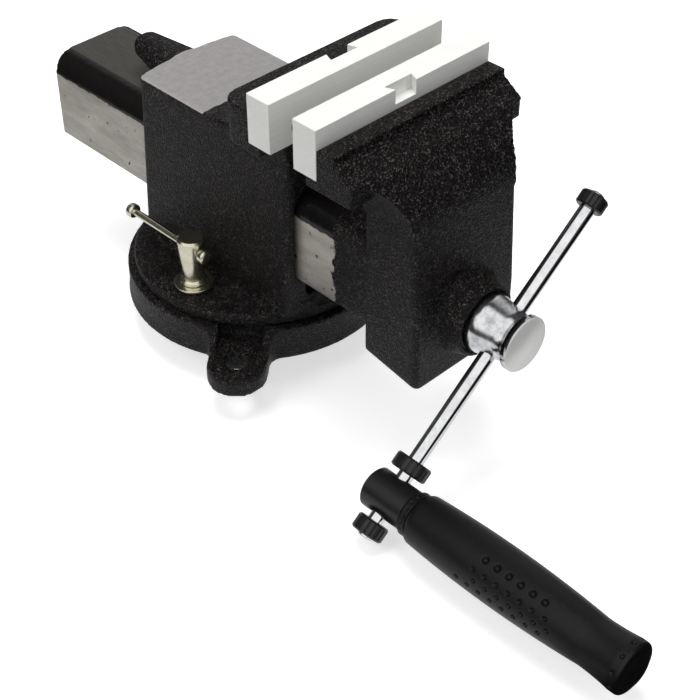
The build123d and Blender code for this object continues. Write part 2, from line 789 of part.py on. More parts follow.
# Spindle nut: a round-topped tower on a foot that two screws hold from below.
with BuildPart() as spindle_nut:
    with BuildSketch(section_plane(-nut_length / 2)) as tower:
        with Locations((0, (tunnel_floor_z + spindle_z) / 2)):
            Rectangle(2 * nut_half_width, spindle_z - tunnel_floor_z)
        with Locations((0, spindle_z)):
            Circle(nut_half_width)
    extrude(amount=-nut_length)
    with BuildSketch(Plane.XY.offset(tunnel_floor_z)) as nut_foot:
        Rectangle(2 * nut_half_width, nut_foot_length)
        fillet(nut_foot.vertices(), nut_foot_corner)
    extrude(amount=nut_foot_height)
    with BuildSketch(section_plane(-nut_length / 2)) as nut_bore:
        with Locations((0, spindle_z)):
            Circle(screw_thread_radius + thread_fit)
    extrude(amount=-nut_length, mode=Mode.SUBTRACT)
    with BuildSketch(Plane.XY.offset(tunnel_floor_z)) as nut_taps:
        with Locations((0, -nut_screw_spread), (0, nut_screw_spread)):
            Circle(nut_screw_radius + thread_fit)
    extrude(amount=nut_foot_height, mode=Mode.SUBTRACT)
spindle_nut.part.label = "spindle_nut"
export_step(spindle_nut.part, "parts/spindle_nut.step")

nut_screw_head_z = flange_bottom_z + nut_screw_head_height + seat_gap
with BuildPart() as nut_screws:
    with BuildSketch(Plane.XY.offset(nut_screw_head_z)) as nut_screw_heads:
        with Locations((0, -nut_screw_spread), (0, nut_screw_spread)):
            Circle(nut_screw_head_radius)
    extrude(amount=-nut_screw_head_height)
    with BuildSketch(Plane.XY.offset(nut_screw_head_z)) as nut_screw_shanks:
        with Locations((0, -nut_screw_spread), (0, nut_screw_spread)):
            Circle(nut_screw_radius)
    extrude(amount=tunnel_floor_z + nut_screw_bite - nut_screw_head_z)
nut_screws.part.label = "nut_screws"
export_step(nut_screws.part, "parts/nut_screws.step")

# Handle rod with its three ribbed caps and nuts, all along the leaning rod.
end_nut_end = end_nut_start + end_nut_length
with BuildPart() as handle_rod:
    with BuildSketch(rod_plane.offset(-end_nut_end - rod_end_show)) as rod_section:
        Circle(rod_radius)
    extrude(amount=end_nut_end + cap_start + cap_length + 2 * rod_end_show)
    chamfer(handle_rod.edges().filter_by(GeomType.CIRCLE), rod_end_show)
handle_rod.part.label = "handle_rod"
export_step(handle_rod.part, "parts/handle_rod.step")


def rod_ring(start, length, radius):
    """A bored ring on the rod, from start outwards along the rod, edges eased."""
    with BuildPart() as ring:
        with BuildSketch(rod_plane.offset(start)) as ring_face:
            Circle(radius)
        extrude(amount=length)
        chamfer(ring.edges().filter_by(GeomType.CIRCLE), rib_edge)
        with BuildSketch(rod_plane.offset(start)) as ring_bore:
            Circle(rod_radius + thread_fit)
        extrude(amount=length, mode=Mode.SUBTRACT)
    return ring.part


rod_rings = {
    "rod_cap": rod_ring(cap_start, cap_length, cap_radius),
    "ring_nut": rod_ring(-ring_nut_start, -ring_nut_length, ring_nut_radius),
    "end_nut": rod_ring(-end_nut_start, -end_nut_length, end_nut_radius),
}
for name, shape in rod_rings.items():
    shape.label = name
    export_step(shape, f"parts/{name}.step")

# Hub: a short cylinder across the rod, cross-bored for it and drilled from the
# front for the grip's axle and from the rear for the set screw.
hub_rear_y = rod_y + hub_behind_rod
hub_front_y = rod_y - hub_ahead_of_rod
axle_tip_y = hub_front_y + axle_bite
with BuildPart() as grip_hub:
    with BuildSketch(section_plane(hub_rear_y)) as hub_face:
        with Locations((hub_x, hub_z)):
            Circle(hub_radius)
    extrude(amount=hub_rear_y - hub_front_y)
    chamfer(grip_hub.edges().filter_by(GeomType.CIRCLE), rib_edge)
    with BuildSketch(rod_plane.offset(-hub_distance)) as hub_cross_bore:
        Circle(rod_radius + thread_fit)
    extrude(amount=2 * hub_radius, both=True, mode=Mode.SUBTRACT)
    with BuildSketch(section_plane(hub_rear_y)) as set_screw_hole:
        with Locations((hub_x, hub_z)):
            Circle(set_screw_radius + thread_fit)
    extrude(amount=hub_behind_rod, mode=Mode.SUBTRACT)
    with BuildSketch(section_plane(axle_tip_y)) as axle_hole:
        with Locations((hub_x, hub_z)):
            Circle(axle_radius + thread_fit)
    extrude(amount=axle_bite, mode=Mode.SUBTRACT)
grip_hub.part.label = "grip_hub"
export_step(grip_hub.part, "parts/grip_hub.step")

with BuildPart() as hub_set_screw:
    with BuildSketch(section_plane(hub_rear_y - 1)) as set_screw_face:
        with Locations((hub_x, hub_z)):
            Circle(set_screw_radius)
            RegularPolygon(set_screw_radius / 2, 6, mode=Mode.SUBTRACT)
    extrude(amount=(hub_behind_rod - rod_radius - 1) / 2)
    with BuildSketch(section_plane(hub_rear_y - 1 - (hub_behind_rod - rod_radius - 1) / 2)) as set_screw_tip:
        with Locations((hub_x, hub_z)):
            Circle(set_screw_radius)
    extrude(amount=(hub_behind_rod - rod_radius - 1) / 2)
hub_set_screw.part.label = "hub_set_screw"
export_step(hub_set_screw.part, "parts/hub_set_screw.step")

# Grip: collar, swelling sleeve and end cap, turned about the axle.
grip_axis = Axis((hub_x, 0, hub_z), (0, 1, 0))
collar_front_y = hub_front_y - grip_collar_length
sleeve_start_y = collar_front_y - grip_gap
sleeve_end_y = sleeve_start_y - sleeve_length
pocket_floor_y = sleeve_end_y + sleeve_pocket_depth
axle_head_y = pocket_floor_y - running_fit
waist_y = sleeve_end_y + sleeve_flare_length
flare_middle_radius = (3 * sleeve_waist_radius + sleeve_end_radius) / 4


def grip_point(radius, y):
    """A point of a grip outline: a radius from the grip's axis at y."""
    return (hub_x + radius, y)


with BuildPart() as grip_collar:
    with BuildSketch(Plane.XY.offset(hub_z)) as collar_half:
        with BuildLine():
            Polyline(
                grip_point(axle_radius + running_fit, hub_front_y),
                grip_point(grip_collar_radius - grip_collar_edge, hub_front_y),
                grip_point(grip_collar_radius, hub_front_y - grip_collar_edge),
                grip_point(grip_collar_radius, collar_front_y + grip_collar_edge),
                grip_point(grip_collar_radius - grip_collar_edge, collar_front_y),
                grip_point(axle_radius + running_fit, collar_front_y),
                close=True,
            )
        make_face()
    revolve(axis=grip_axis)
grip_collar.part.label = "grip_collar"
export_step(grip_collar.part, "parts/grip_collar.step")

with BuildPart() as grip_axle:
    with BuildSketch(section_plane(axle_tip_y)) as axle_section:
        with Locations((hub_x, hub_z)):
            Circle(axle_radius)
    extrude(amount=axle_tip_y - axle_head_y)
    with BuildSketch(section_plane(axle_head_y)) as axle_head:
        with Locations((hub_x, hub_z)):
            Circle(axle_head_radius)
    extrude(amount=axle_head_height)
grip_axle.part.label = "grip_axle"
export_step(grip_axle.part, "parts/grip_axle.step")

with BuildPart() as grip_sleeve:
    with BuildSketch(Plane.XY.offset(hub_z)) as sleeve_half:
        with BuildLine():
            bore = axle_radius + running_fit
            Line(
                grip_point(bore, sleeve_start_y),
                grip_point(sleeve_start_radius - sleeve_edge, sleeve_start_y),
            )
            Line(
                grip_point(sleeve_start_radius - sleeve_edge, sleeve_start_y),
                grip_point(sleeve_start_radius, sleeve_start_y - sleeve_edge),
            )
            ThreePointArc(
                grip_point(sleeve_start_radius, sleeve_start_y - sleeve_edge),
                grip_point(sleeve_swell_radius, (sleeve_start_y + waist_y) / 2),
                grip_point(sleeve_waist_radius, waist_y),
            )
            ThreePointArc(
                grip_point(sleeve_waist_radius, waist_y),
                grip_point(flare_middle_radius, (waist_y + sleeve_end_y) / 2),
                grip_point(sleeve_end_radius, sleeve_end_y),
            )
            Line(grip_point(sleeve_end_radius, sleeve_end_y), grip_point(sleeve_pocket_radius, sleeve_end_y))
            Line(grip_point(sleeve_pocket_radius, sleeve_end_y), grip_point(sleeve_pocket_radius, pocket_floor_y))
            Line(grip_point(sleeve_pocket_radius, pocket_floor_y), grip_point(bore, pocket_floor_y))
            Line(grip_point(bore, pocket_floor_y), grip_point(bore, sleeve_start_y))
        make_face()
    revolve(axis=grip_axis)
grip_sleeve.part.label = "grip_sleeve"
export_step(grip_sleeve.part, "parts/grip_sleeve.step")

cap_rim_y = sleeve_end_y - end_cap_rim
cap_tip_y = cap_rim_y - end_cap_dome
dome_radius = ((end_cap_radius - end_cap_edge) ** 2 + end_cap_dome**2) / (2 * end_cap_dome)
with BuildPart() as grip_end_cap:
    with BuildSketch(Plane.XY.offset(hub_z)) as end_cap_half:
        with BuildLine():
            plug_radius = sleeve_pocket_radius - thread_fit
            Polyline(
                grip_point(0, cap_tip_y),
                grip_point(0, sleeve_end_y + end_cap_plug),
                grip_point(plug_radius, sleeve_end_y + end_cap_plug),
                grip_point(plug_radius, sleeve_end_y),
                grip_point(sleeve_end_radius, sleeve_end_y),
                grip_point(end_cap_radius, sleeve_end_y - end_cap_edge),
                grip_point(end_cap_radius, cap_rim_y + end_cap_edge),
            )
            TangentArc(
                grip_point(end_cap_radius, cap_rim_y + end_cap_edge),
                grip_point(end_cap_radius - end_cap_edge, cap_rim_y),
                tangent=(0, -1),
            )
            RadiusArc(
                grip_point(end_cap_radius - end_cap_edge, cap_rim_y),
                grip_point(0, cap_tip_y),
                dome_radius,
            )
        make_face()
    revolve(axis=grip_axis)
grip_end_cap.part.label = "grip_end_cap"
export_step(grip_end_cap.part, "parts/grip_end_cap.step")

# Swivel locks: the left one is made, and the right one is the same turned half
# round the swivel axis, so that both loosen away from the body.
washer_top_z = flange_top_z + lock_washer_thickness
lock_nut_bottom_z = washer_top_z + seat_gap
lock_nut_top_z = lock_nut_bottom_z + lock_nut_height
lock_foot_top_z = lock_nut_bottom_z + lock_nut_foot_height
lock_bar_z = lock_nut_top_z - lock_bar_drop
lock_bolt_end_z = lock_nut_bottom_z + lock_bore_top - seat_gap
lock_head_bottom_z = lock_slot_floor + seat_gap
bar_front_y = lock_y - lock_nut_top_radius - seat_gap - lock_bar_end_length / 2
bar_rear_y = bar_front_y + lock_bar_span

# T-bolt with its square head in the base's ring slot.
with BuildPart() as lock_bolt:
    with BuildSketch(Plane.XY.offset(lock_head_bottom_z)) as bolt_head:
        with Locations(Location((lock_x, lock_y), lock_angle)):
            Rectangle(lock_head_size, lock_head_size)
    extrude(amount=lock_head_height)
    with BuildSketch(Plane.XY.offset(lock_head_bottom_z)) as bolt_shank:
        with Locations((lock_x, lock_y)):
            Circle(lock_bolt_radius)
    extrude(amount=lock_bolt_end_z - lock_head_bottom_z)

# Wide flat washer on the flange.
with BuildPart() as lock_washer:
    with BuildSketch(Plane.XY.offset(flange_top_z)) as washer_face:
        with Locations((lock_x, lock_y)):
            Circle(lock_washer_radius)
            Circle(lock_bolt_radius + seat_gap, mode=Mode.SUBTRACT)
    extrude(amount=lock_washer_thickness)

# Tall round nut, wider at the top, tapped from below and cross-bored for its bar.
with BuildPart() as lock_nut:
    with BuildSketch(Plane.XZ.offset(-lock_y)) as nut_half:
        with BuildLine():
            Polyline(
                (lock_x, lock_nut_bottom_z),
                (lock_x + lock_nut_foot_radius, lock_nut_bottom_z),
                (lock_x + lock_nut_foot_radius, lock_foot_top_z),
                (lock_x + lock_nut_waist_radius, lock_foot_top_z + lock_nut_edge),
                (lock_x + lock_nut_top_radius, lock_nut_top_z - lock_nut_edge),
                (lock_x + lock_nut_top_radius - lock_nut_edge, lock_nut_top_z),
                (lock_x, lock_nut_top_z),
                close=True,
            )
        make_face()
    revolve(axis=Axis((lock_x, lock_y, 0), (0, 0, 1)))
    with BuildSketch(Plane.XY.offset(lock_nut_bottom_z)) as nut_thread:
        with Locations((lock_x, lock_y)):
            Circle(lock_bolt_radius + thread_fit)
    extrude(amount=lock_bore_top, mode=Mode.SUBTRACT)
    with BuildSketch(section_plane(lock_y)) as bar_hole:
        with Locations((lock_x, lock_bar_z)):
            Circle(lock_bar_radius + running_fit)
    extrude(amount=2 * lock_nut_top_radius, both=True, mode=Mode.SUBTRACT)

# Cross bar that slides in the lock nut, and the rounded knobs pressed on it.
with BuildPart() as lock_bar:
    with BuildSketch(section_plane(bar_rear_y)) as bar_face:
        with Locations((lock_x, lock_bar_z)):
            Circle(lock_bar_radius)
    extrude(amount=bar_rear_y - bar_front_y)

with BuildPart() as lock_bar_ends:
    for end_y in (bar_front_y, bar_rear_y):
        with BuildSketch(section_plane(end_y + lock_bar_end_length / 2)) as end_face:
            with Locations((lock_x, lock_bar_z)):
                Circle(lock_bar_end_radius)
        extrude(amount=lock_bar_end_length)
    fillet(lock_bar_ends.edges(), lock_bar_end_edge)
    with BuildSketch(section_plane(bar_rear_y + thread_fit)) as end_bores:
        with Locations((lock_x, lock_bar_z)):
            Circle(lock_bar_radius + thread_fit)
    extrude(amount=bar_rear_y - bar_front_y + 2 * thread_fit, mode=Mode.SUBTRACT)

lock_pieces = {
    "lock_bolt": lock_bolt,
    "lock_washer": lock_washer,
    "lock_nut": lock_nut,
    "lock_bar": lock_bar,
    "lock_bar_ends": lock_bar_ends,
}
for piece_name, piece in lock_pieces.items():
    for side_name, turn in (("left", 0), ("right", 180)):
        turned = piece.part.rotate(Axis.Z, turn)
        turned.label = f"{piece_name}_{side_name}"
        export_step(turned, f"parts/{turned.label}.step")
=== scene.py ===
import bpy
import bmesh
from math import cos, pi, radians, sin
from mathutils import Matrix, Vector


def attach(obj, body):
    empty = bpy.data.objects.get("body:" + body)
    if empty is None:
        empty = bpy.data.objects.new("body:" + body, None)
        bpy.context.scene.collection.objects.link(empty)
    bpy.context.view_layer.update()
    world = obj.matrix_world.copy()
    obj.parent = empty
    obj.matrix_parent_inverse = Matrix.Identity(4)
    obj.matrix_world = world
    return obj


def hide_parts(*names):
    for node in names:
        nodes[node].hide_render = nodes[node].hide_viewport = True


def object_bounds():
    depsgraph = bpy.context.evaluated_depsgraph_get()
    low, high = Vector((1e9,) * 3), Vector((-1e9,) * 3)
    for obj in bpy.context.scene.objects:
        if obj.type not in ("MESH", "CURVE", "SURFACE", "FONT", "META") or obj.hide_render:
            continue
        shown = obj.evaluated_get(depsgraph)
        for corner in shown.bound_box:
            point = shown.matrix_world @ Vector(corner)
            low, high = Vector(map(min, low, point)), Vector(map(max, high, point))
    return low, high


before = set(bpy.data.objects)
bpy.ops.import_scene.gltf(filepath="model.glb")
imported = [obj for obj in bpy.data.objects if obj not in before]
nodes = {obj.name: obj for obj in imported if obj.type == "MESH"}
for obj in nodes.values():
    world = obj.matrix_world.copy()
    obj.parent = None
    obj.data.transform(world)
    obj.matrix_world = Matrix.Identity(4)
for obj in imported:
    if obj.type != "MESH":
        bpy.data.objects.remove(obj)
cad_low, cad_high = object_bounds()

MM = 0.001
scene = bpy.context.scene
scene.view_settings.view_transform = "Standard"


# Studio: a bench-height view from the handle's side, on a seamless white
# sweep. The floor lies under the lowest point of the handle.


def linear(hex_colour):
    """An sRGB hex colour as the linear RGBA that shaders take."""
    channels = [int(hex_colour[i:i + 2], 16) / 255 for i in (1, 3, 5)]
    return [c / 12.92 if c <= 0.04045 else ((c + 0.055) / 1.055) ** 2.4 for c in channels] + [1.0]


def add_node(tree, kind, settings=None, **inputs):
    """A node of a tree. Inputs are values or sockets, by name with _ for a space, or by number as n0."""
    node = tree.nodes.new(kind)
    for key, value in (settings or {}).items():
        setattr(node, key, value)
    for key, value in inputs.items():
        number = key[1:]
        socket = node.inputs[int(number)] if key[0] == "n" and number.isdigit() else node.inputs[key.replace("_", " ")]
        if isinstance(value, bpy.types.NodeSocket):
            tree.links.new(value, socket)
        else:
            socket.default_value = value
    return node


camera_place = (-0.4939, -0.5798, 0.5758)
camera_tilt_down = 39.85
camera_turn = -44.57
camera_data = bpy.data.cameras.new("photograph_view")
camera_data.sensor_width = 36.0
camera_data.lens = 79.7
camera = bpy.data.objects.new("photograph_view", camera_data)
camera.location = camera_place
camera.rotation_euler = (radians(90 - camera_tilt_down), 0, radians(camera_turn))
scene.collection.objects.link(camera)
scene.camera = camera

floor_size = 6.0
floor_drop = 2 * MM
bm = bmesh.new()
bmesh.ops.create_grid(bm, x_segments=1, y_segments=1, size=floor_size / 2)
floor_mesh = bpy.data.meshes.new("floor")
bm.to_mesh(floor_mesh)
bm.free()
floor_mesh.transform(Matrix.Translation((0, 0, cad_low.z - floor_drop)))
floor = bpy.data.objects.new("floor", floor_mesh)
scene.collection.objects.link(floor)

# The paper is white to the camera, and only pale grey as a light source. In
# reflections it is pale under the vise, and dark further off and in front.
paper_colour = "#d8d8d8"
paper_glow = 0.62
paper_mirrored, dark_mirrored = 0.8, 0.05
paper_fades_from, paper_fades_to = 0.32, 0.4
front_dark_from, front_dark_to = -0.34, -0.29
sweep = bpy.data.materials.new("white_paper_sweep")
sweep.use_nodes = True
tree = sweep.node_tree
tree.nodes.clear()
path = add_node(tree, "ShaderNodeLightPath")
paper = add_node(tree, "ShaderNodeBsdfDiffuse", Color=linear(paper_colour))
camera_glow = add_node(tree, "ShaderNodeEmission", Color=linear("#ffffff"), Strength=paper_glow)
seen = add_node(tree, "ShaderNodeAddShader", n0=paper.outputs[0], n1=camera_glow.outputs[0])
coords = add_node(tree, "ShaderNodeTexCoord")
axes = add_node(tree, "ShaderNodeSeparateXYZ", n0=coords.outputs["Object"])
flat = add_node(tree, "ShaderNodeVectorMath", {"operation": "MULTIPLY"}, n0=coords.outputs["Object"], n1=(1, 1, 0))
away = add_node(tree, "ShaderNodeVectorMath", {"operation": "LENGTH"}, n0=flat.outputs[0])
front_edge = add_node(tree, "ShaderNodeMapRange", {"interpolation_type": "SMOOTHSTEP"}, Value=axes.outputs["Y"],
                      n1=front_dark_from, n2=front_dark_to, n3=0.06, n4=1.0)
paper_edge = add_node(tree, "ShaderNodeMapRange", {"interpolation_type": "SMOOTHSTEP"}, Value=away.outputs["Value"],
                      n1=paper_fades_from, n2=paper_fades_to, n3=paper_mirrored, n4=dark_mirrored)
paper_edge = add_node(tree, "ShaderNodeMath", {"operation": "MULTIPLY"}, n0=front_edge.outputs[0],
                      n1=paper_edge.outputs[0])
mirrored = add_node(tree, "ShaderNodeEmission", Color=linear("#ffffff"), Strength=paper_edge.outputs[0])
glossy_mix = add_node(tree, "ShaderNodeMixShader", n0=path.outputs["Is Glossy Ray"], n1=paper.outputs[0],
                      n2=mirrored.outputs[0])
mix = add_node(tree, "ShaderNodeMixShader", n0=path.outputs["Is Camera Ray"], n1=glossy_mix.outputs[0],
               n2=seen.outputs[0])
add_node(tree, "ShaderNodeOutputMaterial", Surface=mix.outputs[0])
floor_mesh.materials.append(sweep)

# The room: white behind the object. Reflections show one broad white screen
# over the camera's left shoulder, a dimmer one at the back, and dark walls.
room_light = 0.30
dark_wall = 0.05
screen_towards, screen_edge, screen_light = (-0.563, -0.384, 0.733), (0.5, 0.66), 1.0
back_screen_towards, back_screen_edge, back_screen_light = (0.6, 0.62, 0.5), (0.78, 0.98), 0.7
world = bpy.data.worlds.new("soft_room")
scene.world = world
world.use_nodes = True
tree = world.node_tree
tree.nodes.clear()
path = add_node(tree, "ShaderNodeLightPath")
room = add_node(tree, "ShaderNodeBackground", Color=linear("#ffffff"), Strength=room_light)
coords = add_node(tree, "ShaderNodeTexCoord")
screens = []
for towards, (edge_from, edge_to), light in ((screen_towards, screen_edge, screen_light),
                                             (back_screen_towards, back_screen_edge, back_screen_light)):
    facing = add_node(tree, "ShaderNodeVectorMath", {"operation": "DOT_PRODUCT"}, n0=coords.outputs["Generated"],
                      n1=towards)
    screens.append(add_node(tree, "ShaderNodeMapRange", {"interpolation_type": "SMOOTHSTEP"},
                            Value=facing.outputs["Value"], n1=edge_from, n2=edge_to, n3=dark_wall, n4=light))
brighter = add_node(tree, "ShaderNodeMath", {"operation": "MAXIMUM"}, n0=screens[0].outputs[0],
                    n1=screens[1].outputs[0])
mirrored_room = add_node(tree, "ShaderNodeBackground", Color=linear("#ffffff"), Strength=brighter.outputs[0])
white = add_node(tree, "ShaderNodeBackground", Color=linear("#ffffff"), Strength=1.0)
mix = add_node(tree, "ShaderNodeMixShader", n0=path.outputs["Is Glossy Ray"], n1=room.outputs[0],
               n2=mirrored_room.outputs[0])
mix = add_node(tree, "ShaderNodeMixShader", n0=path.outputs["Is Camera Ray"], n1=mix.outputs[0], n2=white.outputs[0])
add_node(tree, "ShaderNodeOutputWorld", Surface=mix.outputs[0])


def soft_light(name, place, target, size, watts):
    """A square soft box at a place, turned to a target. Mirrors show the room's screens instead of it."""
    data = bpy.data.lights.new(name, "AREA")
    data.shape = "RECTANGLE"
    data.size = data.size_y = size
    data.energy = watts
    lamp = bpy.data.objects.new(name, data)
    lamp.visible_glossy = False
    lamp.location = place
    lamp.rotation_euler = (Vector(target) - Vector(place)).to_track_quat("-Z", "Y").to_euler()
    scene.collection.objects.link(lamp)


middle = (cad_low + cad_high) / 2
soft_light("key_soft_box", (-1.1, 0.25, 1.15), middle, 0.8, 6.8)
soft_light("top_soft_box", (0.15, 0.1, 1.6), middle, 0.9, 20.0)
soft_light("fill_soft_box", (0.3, -1.5, 0.7), middle, 0.9, 3.5)


# Castings: grey iron, shot-blasted and sprayed with a black wrinkle enamel,
# which shrinks as it bakes into grains about a millimetre across. The anvil is
# ground bare, and the slide bar is milled on its top and sides.


def new_material(name):
    """A new material. Returns it, its tree, its Principled shader and a socket with the place in metres."""
    material = bpy.data.materials.new(name)
    material.use_nodes = True
    tree = material.node_tree
    tree.nodes.clear()
    shader = add_node(tree, "ShaderNodeBsdfPrincipled")
    add_node(tree, "ShaderNodeOutputMaterial", Surface=shader.outputs[0])
    return material, tree, shader, add_node(tree, "ShaderNodeTexCoord").outputs["Object"]


# Black wrinkle enamel, with pattern scales as counts per metre. A grain is
# 1.16 mm across, which is the coarse end of the real one's, so that it shows.
enamel_grains = 860.0
enamel_grit = 1100.0
enamel_clouds = 260.0
enamel_bends = 620.0
enamel_bend_reach = 0.0008
enamel_depth = 0.8 * MM
# The grain tops are painted pale, as painted glints, and the hollows between the grains near black, as painted shade.
enamel_glint_and_shade_tones = ((0.22, "#040303"), (0.42, "#231f1f"), (0.62, "#57514e"))


def wrinkle_enamel(tree, place):
    """The enamel's colour, with painted glints on the grain tops and painted shade in the hollows, and its roughness
    and height sockets at a place.
    """
    warp = add_node(tree, "ShaderNodeTexNoise", Vector=place, Scale=enamel_bends, Detail=2.0)
    bent = add_node(tree, "ShaderNodeMixRGB", {"blend_type": "LINEAR_LIGHT"}, Fac=enamel_bend_reach, Color1=place,
                    Color2=warp.outputs["Color"])
    grain = add_node(tree, "ShaderNodeTexVoronoi", {"feature": "SMOOTH_F1"}, Vector=bent.outputs[0],
                     Scale=enamel_grains, Smoothness=0.25)
    grit = add_node(tree, "ShaderNodeTexNoise", Vector=place, Scale=enamel_grit, Detail=3.0, Roughness=0.65)
    coarse = add_node(tree, "ShaderNodeTexNoise", Vector=place, Scale=enamel_clouds, Detail=4.0, Roughness=0.7)
    tops = add_node(tree, "ShaderNodeMath", {"operation": "SUBTRACT"}, n0=coarse.outputs["Fac"],
                    n1=grain.outputs["Distance"])
    height = add_node(tree, "ShaderNodeMath", {"operation": "MULTIPLY_ADD"}, n0=grit.outputs["Fac"], n1=0.45,
                      n2=tops.outputs[0])
    # Painted glints and painted shade: the colour follows the grain's height, pale on the tops and dark in the
    # hollows.
    ramp = add_node(tree, "ShaderNodeValToRGB", Fac=height.outputs[0])
    ramp.color_ramp.elements.new(enamel_glint_and_shade_tones[1][0])
    for stop, (share, tone) in zip(ramp.color_ramp.elements, enamel_glint_and_shade_tones):
        stop.position, stop.color = share, linear(tone)
    rough = add_node(tree, "ShaderNodeMapRange", Value=coarse.outputs["Fac"], n3=0.34, n4=0.6)
    return ramp.outputs["Color"], rough.outputs[0], height.outputs[0]


def enamelled_iron(name, bare_patches=()):
    """Wrinkle enamel, with bare patches. Each patch is a function that takes the tree and the place, and
    returns a mask, a colour, a metallic value, a roughness and a height."""
    material, tree, shader, place = new_material(name)
    colour, roughness, height = wrinkle_enamel(tree, place)
    bump_height, metallic = height, 0.0
    for patch in bare_patches:
        mask, patch_colour, patch_metallic, patch_roughness, patch_height = patch(tree, place)
        colour = add_node(tree, "ShaderNodeMixRGB", Fac=mask, Color1=colour, Color2=patch_colour).outputs[0]
        roughness = add_node(tree, "ShaderNodeMixRGB", Fac=mask, Color1=roughness, Color2=patch_roughness).outputs[0]
        bump_height = add_node(tree, "ShaderNodeMixRGB", Fac=mask, Color1=bump_height,
                               Color2=patch_height).outputs[0]
        share = add_node(tree, "ShaderNodeMath", {"operation": "MULTIPLY"}, n0=mask, n1=patch_metallic).outputs[0]
        metallic = add_node(tree, "ShaderNodeMath", {"operation": "MAXIMUM"}, n0=metallic, n1=share).outputs[0]
    tree.links.new(colour, shader.inputs["Base Color"])
    tree.links.new(roughness, shader.inputs["Roughness"])
    if bare_patches:
        tree.links.new(metallic, shader.inputs["Metallic"])
    bump = add_node(tree, "ShaderNodeBump", Strength=1.0, Distance=enamel_depth, Height=bump_height)
    tree.links.new(bump.outputs[0], shader.inputs["Normal"])
    shader.inputs["Specular IOR Level"].default_value = 0.25
    return material


# Where the castings are bare: the anvil's ground top, and the slide bar's
# milled faces behind the moving jaw. Scales are counts per metre.
anvil_top = 132.0 * MM
anvil_front = 0.5 * MM
anvil_rear = 60.3 * MM
anvil_rear_bow = 2.5
anvil_front_rags, anvil_front_rag_reach = 160.0, 4 * MM
anvil_clouds = 220.0
bar_half_width = 31.5 * MM
bar_top = 108.0 * MM
bar_top_half_width = 18.5 * MM
bar_bare_front = -97.0 * MM
bar_paint_line = 94.5 * MM
bar_rags, bar_rag_rise, bar_rag_reach = 230.0, 3 * MM, 14 * MM
bar_pits = 230.0
bar_side_streaks = (60.0, 30.0, 120.0)
bar_top_streaks = (900.0, 90.0, 100.0)
bar_corner_peel = 300.0
skin_slack = 0.6 * MM
skin_fade = 0.4 * MM


def ground_anvil(tree, place):
    """The ground top of the anvil: pale grey iron, satin, with a painted highlight along its rounded edge."""
    ragged = add_node(tree, "ShaderNodeTexNoise", Vector=place, Scale=anvil_front_rags, Detail=4.0)
    axes = add_node(tree, "ShaderNodeSeparateXYZ", n0=place)
    edge = add_node(tree, "ShaderNodeMath", {"operation": "MULTIPLY_ADD"}, n0=ragged.outputs["Fac"],
                    n1=anvil_front_rag_reach, n2=axes.outputs["Y"])
    mask = add_node(tree, "ShaderNodeMapRange", Value=edge.outputs[0], n1=anvil_front + 1.5 * MM,
                    n2=anvil_front + 2.1 * MM)
    above = add_node(tree, "ShaderNodeMapRange", Value=axes.outputs["Z"], n1=anvil_top - 1.5 * MM,
                     n2=anvil_top - 1.1 * MM)
    square = add_node(tree, "ShaderNodeMath", {"operation": "MULTIPLY"}, n0=axes.outputs["X"], n1=axes.outputs["X"])
    bowed = add_node(tree, "ShaderNodeMath", {"operation": "MULTIPLY_ADD"}, n0=square.outputs[0], n1=anvil_rear_bow,
                     n2=axes.outputs["Y"])
    ahead = add_node(tree, "ShaderNodeMapRange", Value=bowed.outputs[0], n1=anvil_rear, n2=anvil_rear + 0.6 * MM,
                     n3=1.0, n4=0.0)
    for limit in (above, ahead):
        mask = add_node(tree, "ShaderNodeMath", {"operation": "MULTIPLY"}, n0=mask.outputs[0], n1=limit.outputs[0])
    # Painted highlight: the rounded edge just below the top is painted paler, as if it caught the light.
    rim = add_node(tree, "ShaderNodeMapRange", Value=axes.outputs["Z"], n1=anvil_top - 0.9 * MM,
                   n2=anvil_top - 0.15 * MM)
    cloud = add_node(tree, "ShaderNodeTexNoise", Vector=place, Scale=anvil_clouds, Detail=6.0, Roughness=0.75)
    ramp = add_node(tree, "ShaderNodeValToRGB", Fac=cloud.outputs["Fac"])
    for stop, (share, tone) in zip(ramp.color_ramp.elements, ((0.3, "#858283"), (0.7, "#9e9b9b"))):
        stop.position, stop.color = share, linear(tone)
    colour = add_node(tree, "ShaderNodeMixRGB", Fac=rim.outputs[0], Color1=linear("#b9b6b2"),
                      Color2=ramp.outputs["Color"])
    calm = add_node(tree, "ShaderNodeMath", {"operation": "MULTIPLY"}, n0=cloud.outputs["Fac"], n1=0.12)
    return mask.outputs[0], colour.outputs[0], 0.35, (0.55, 0.55, 0.55, 1.0), calm.outputs[0]


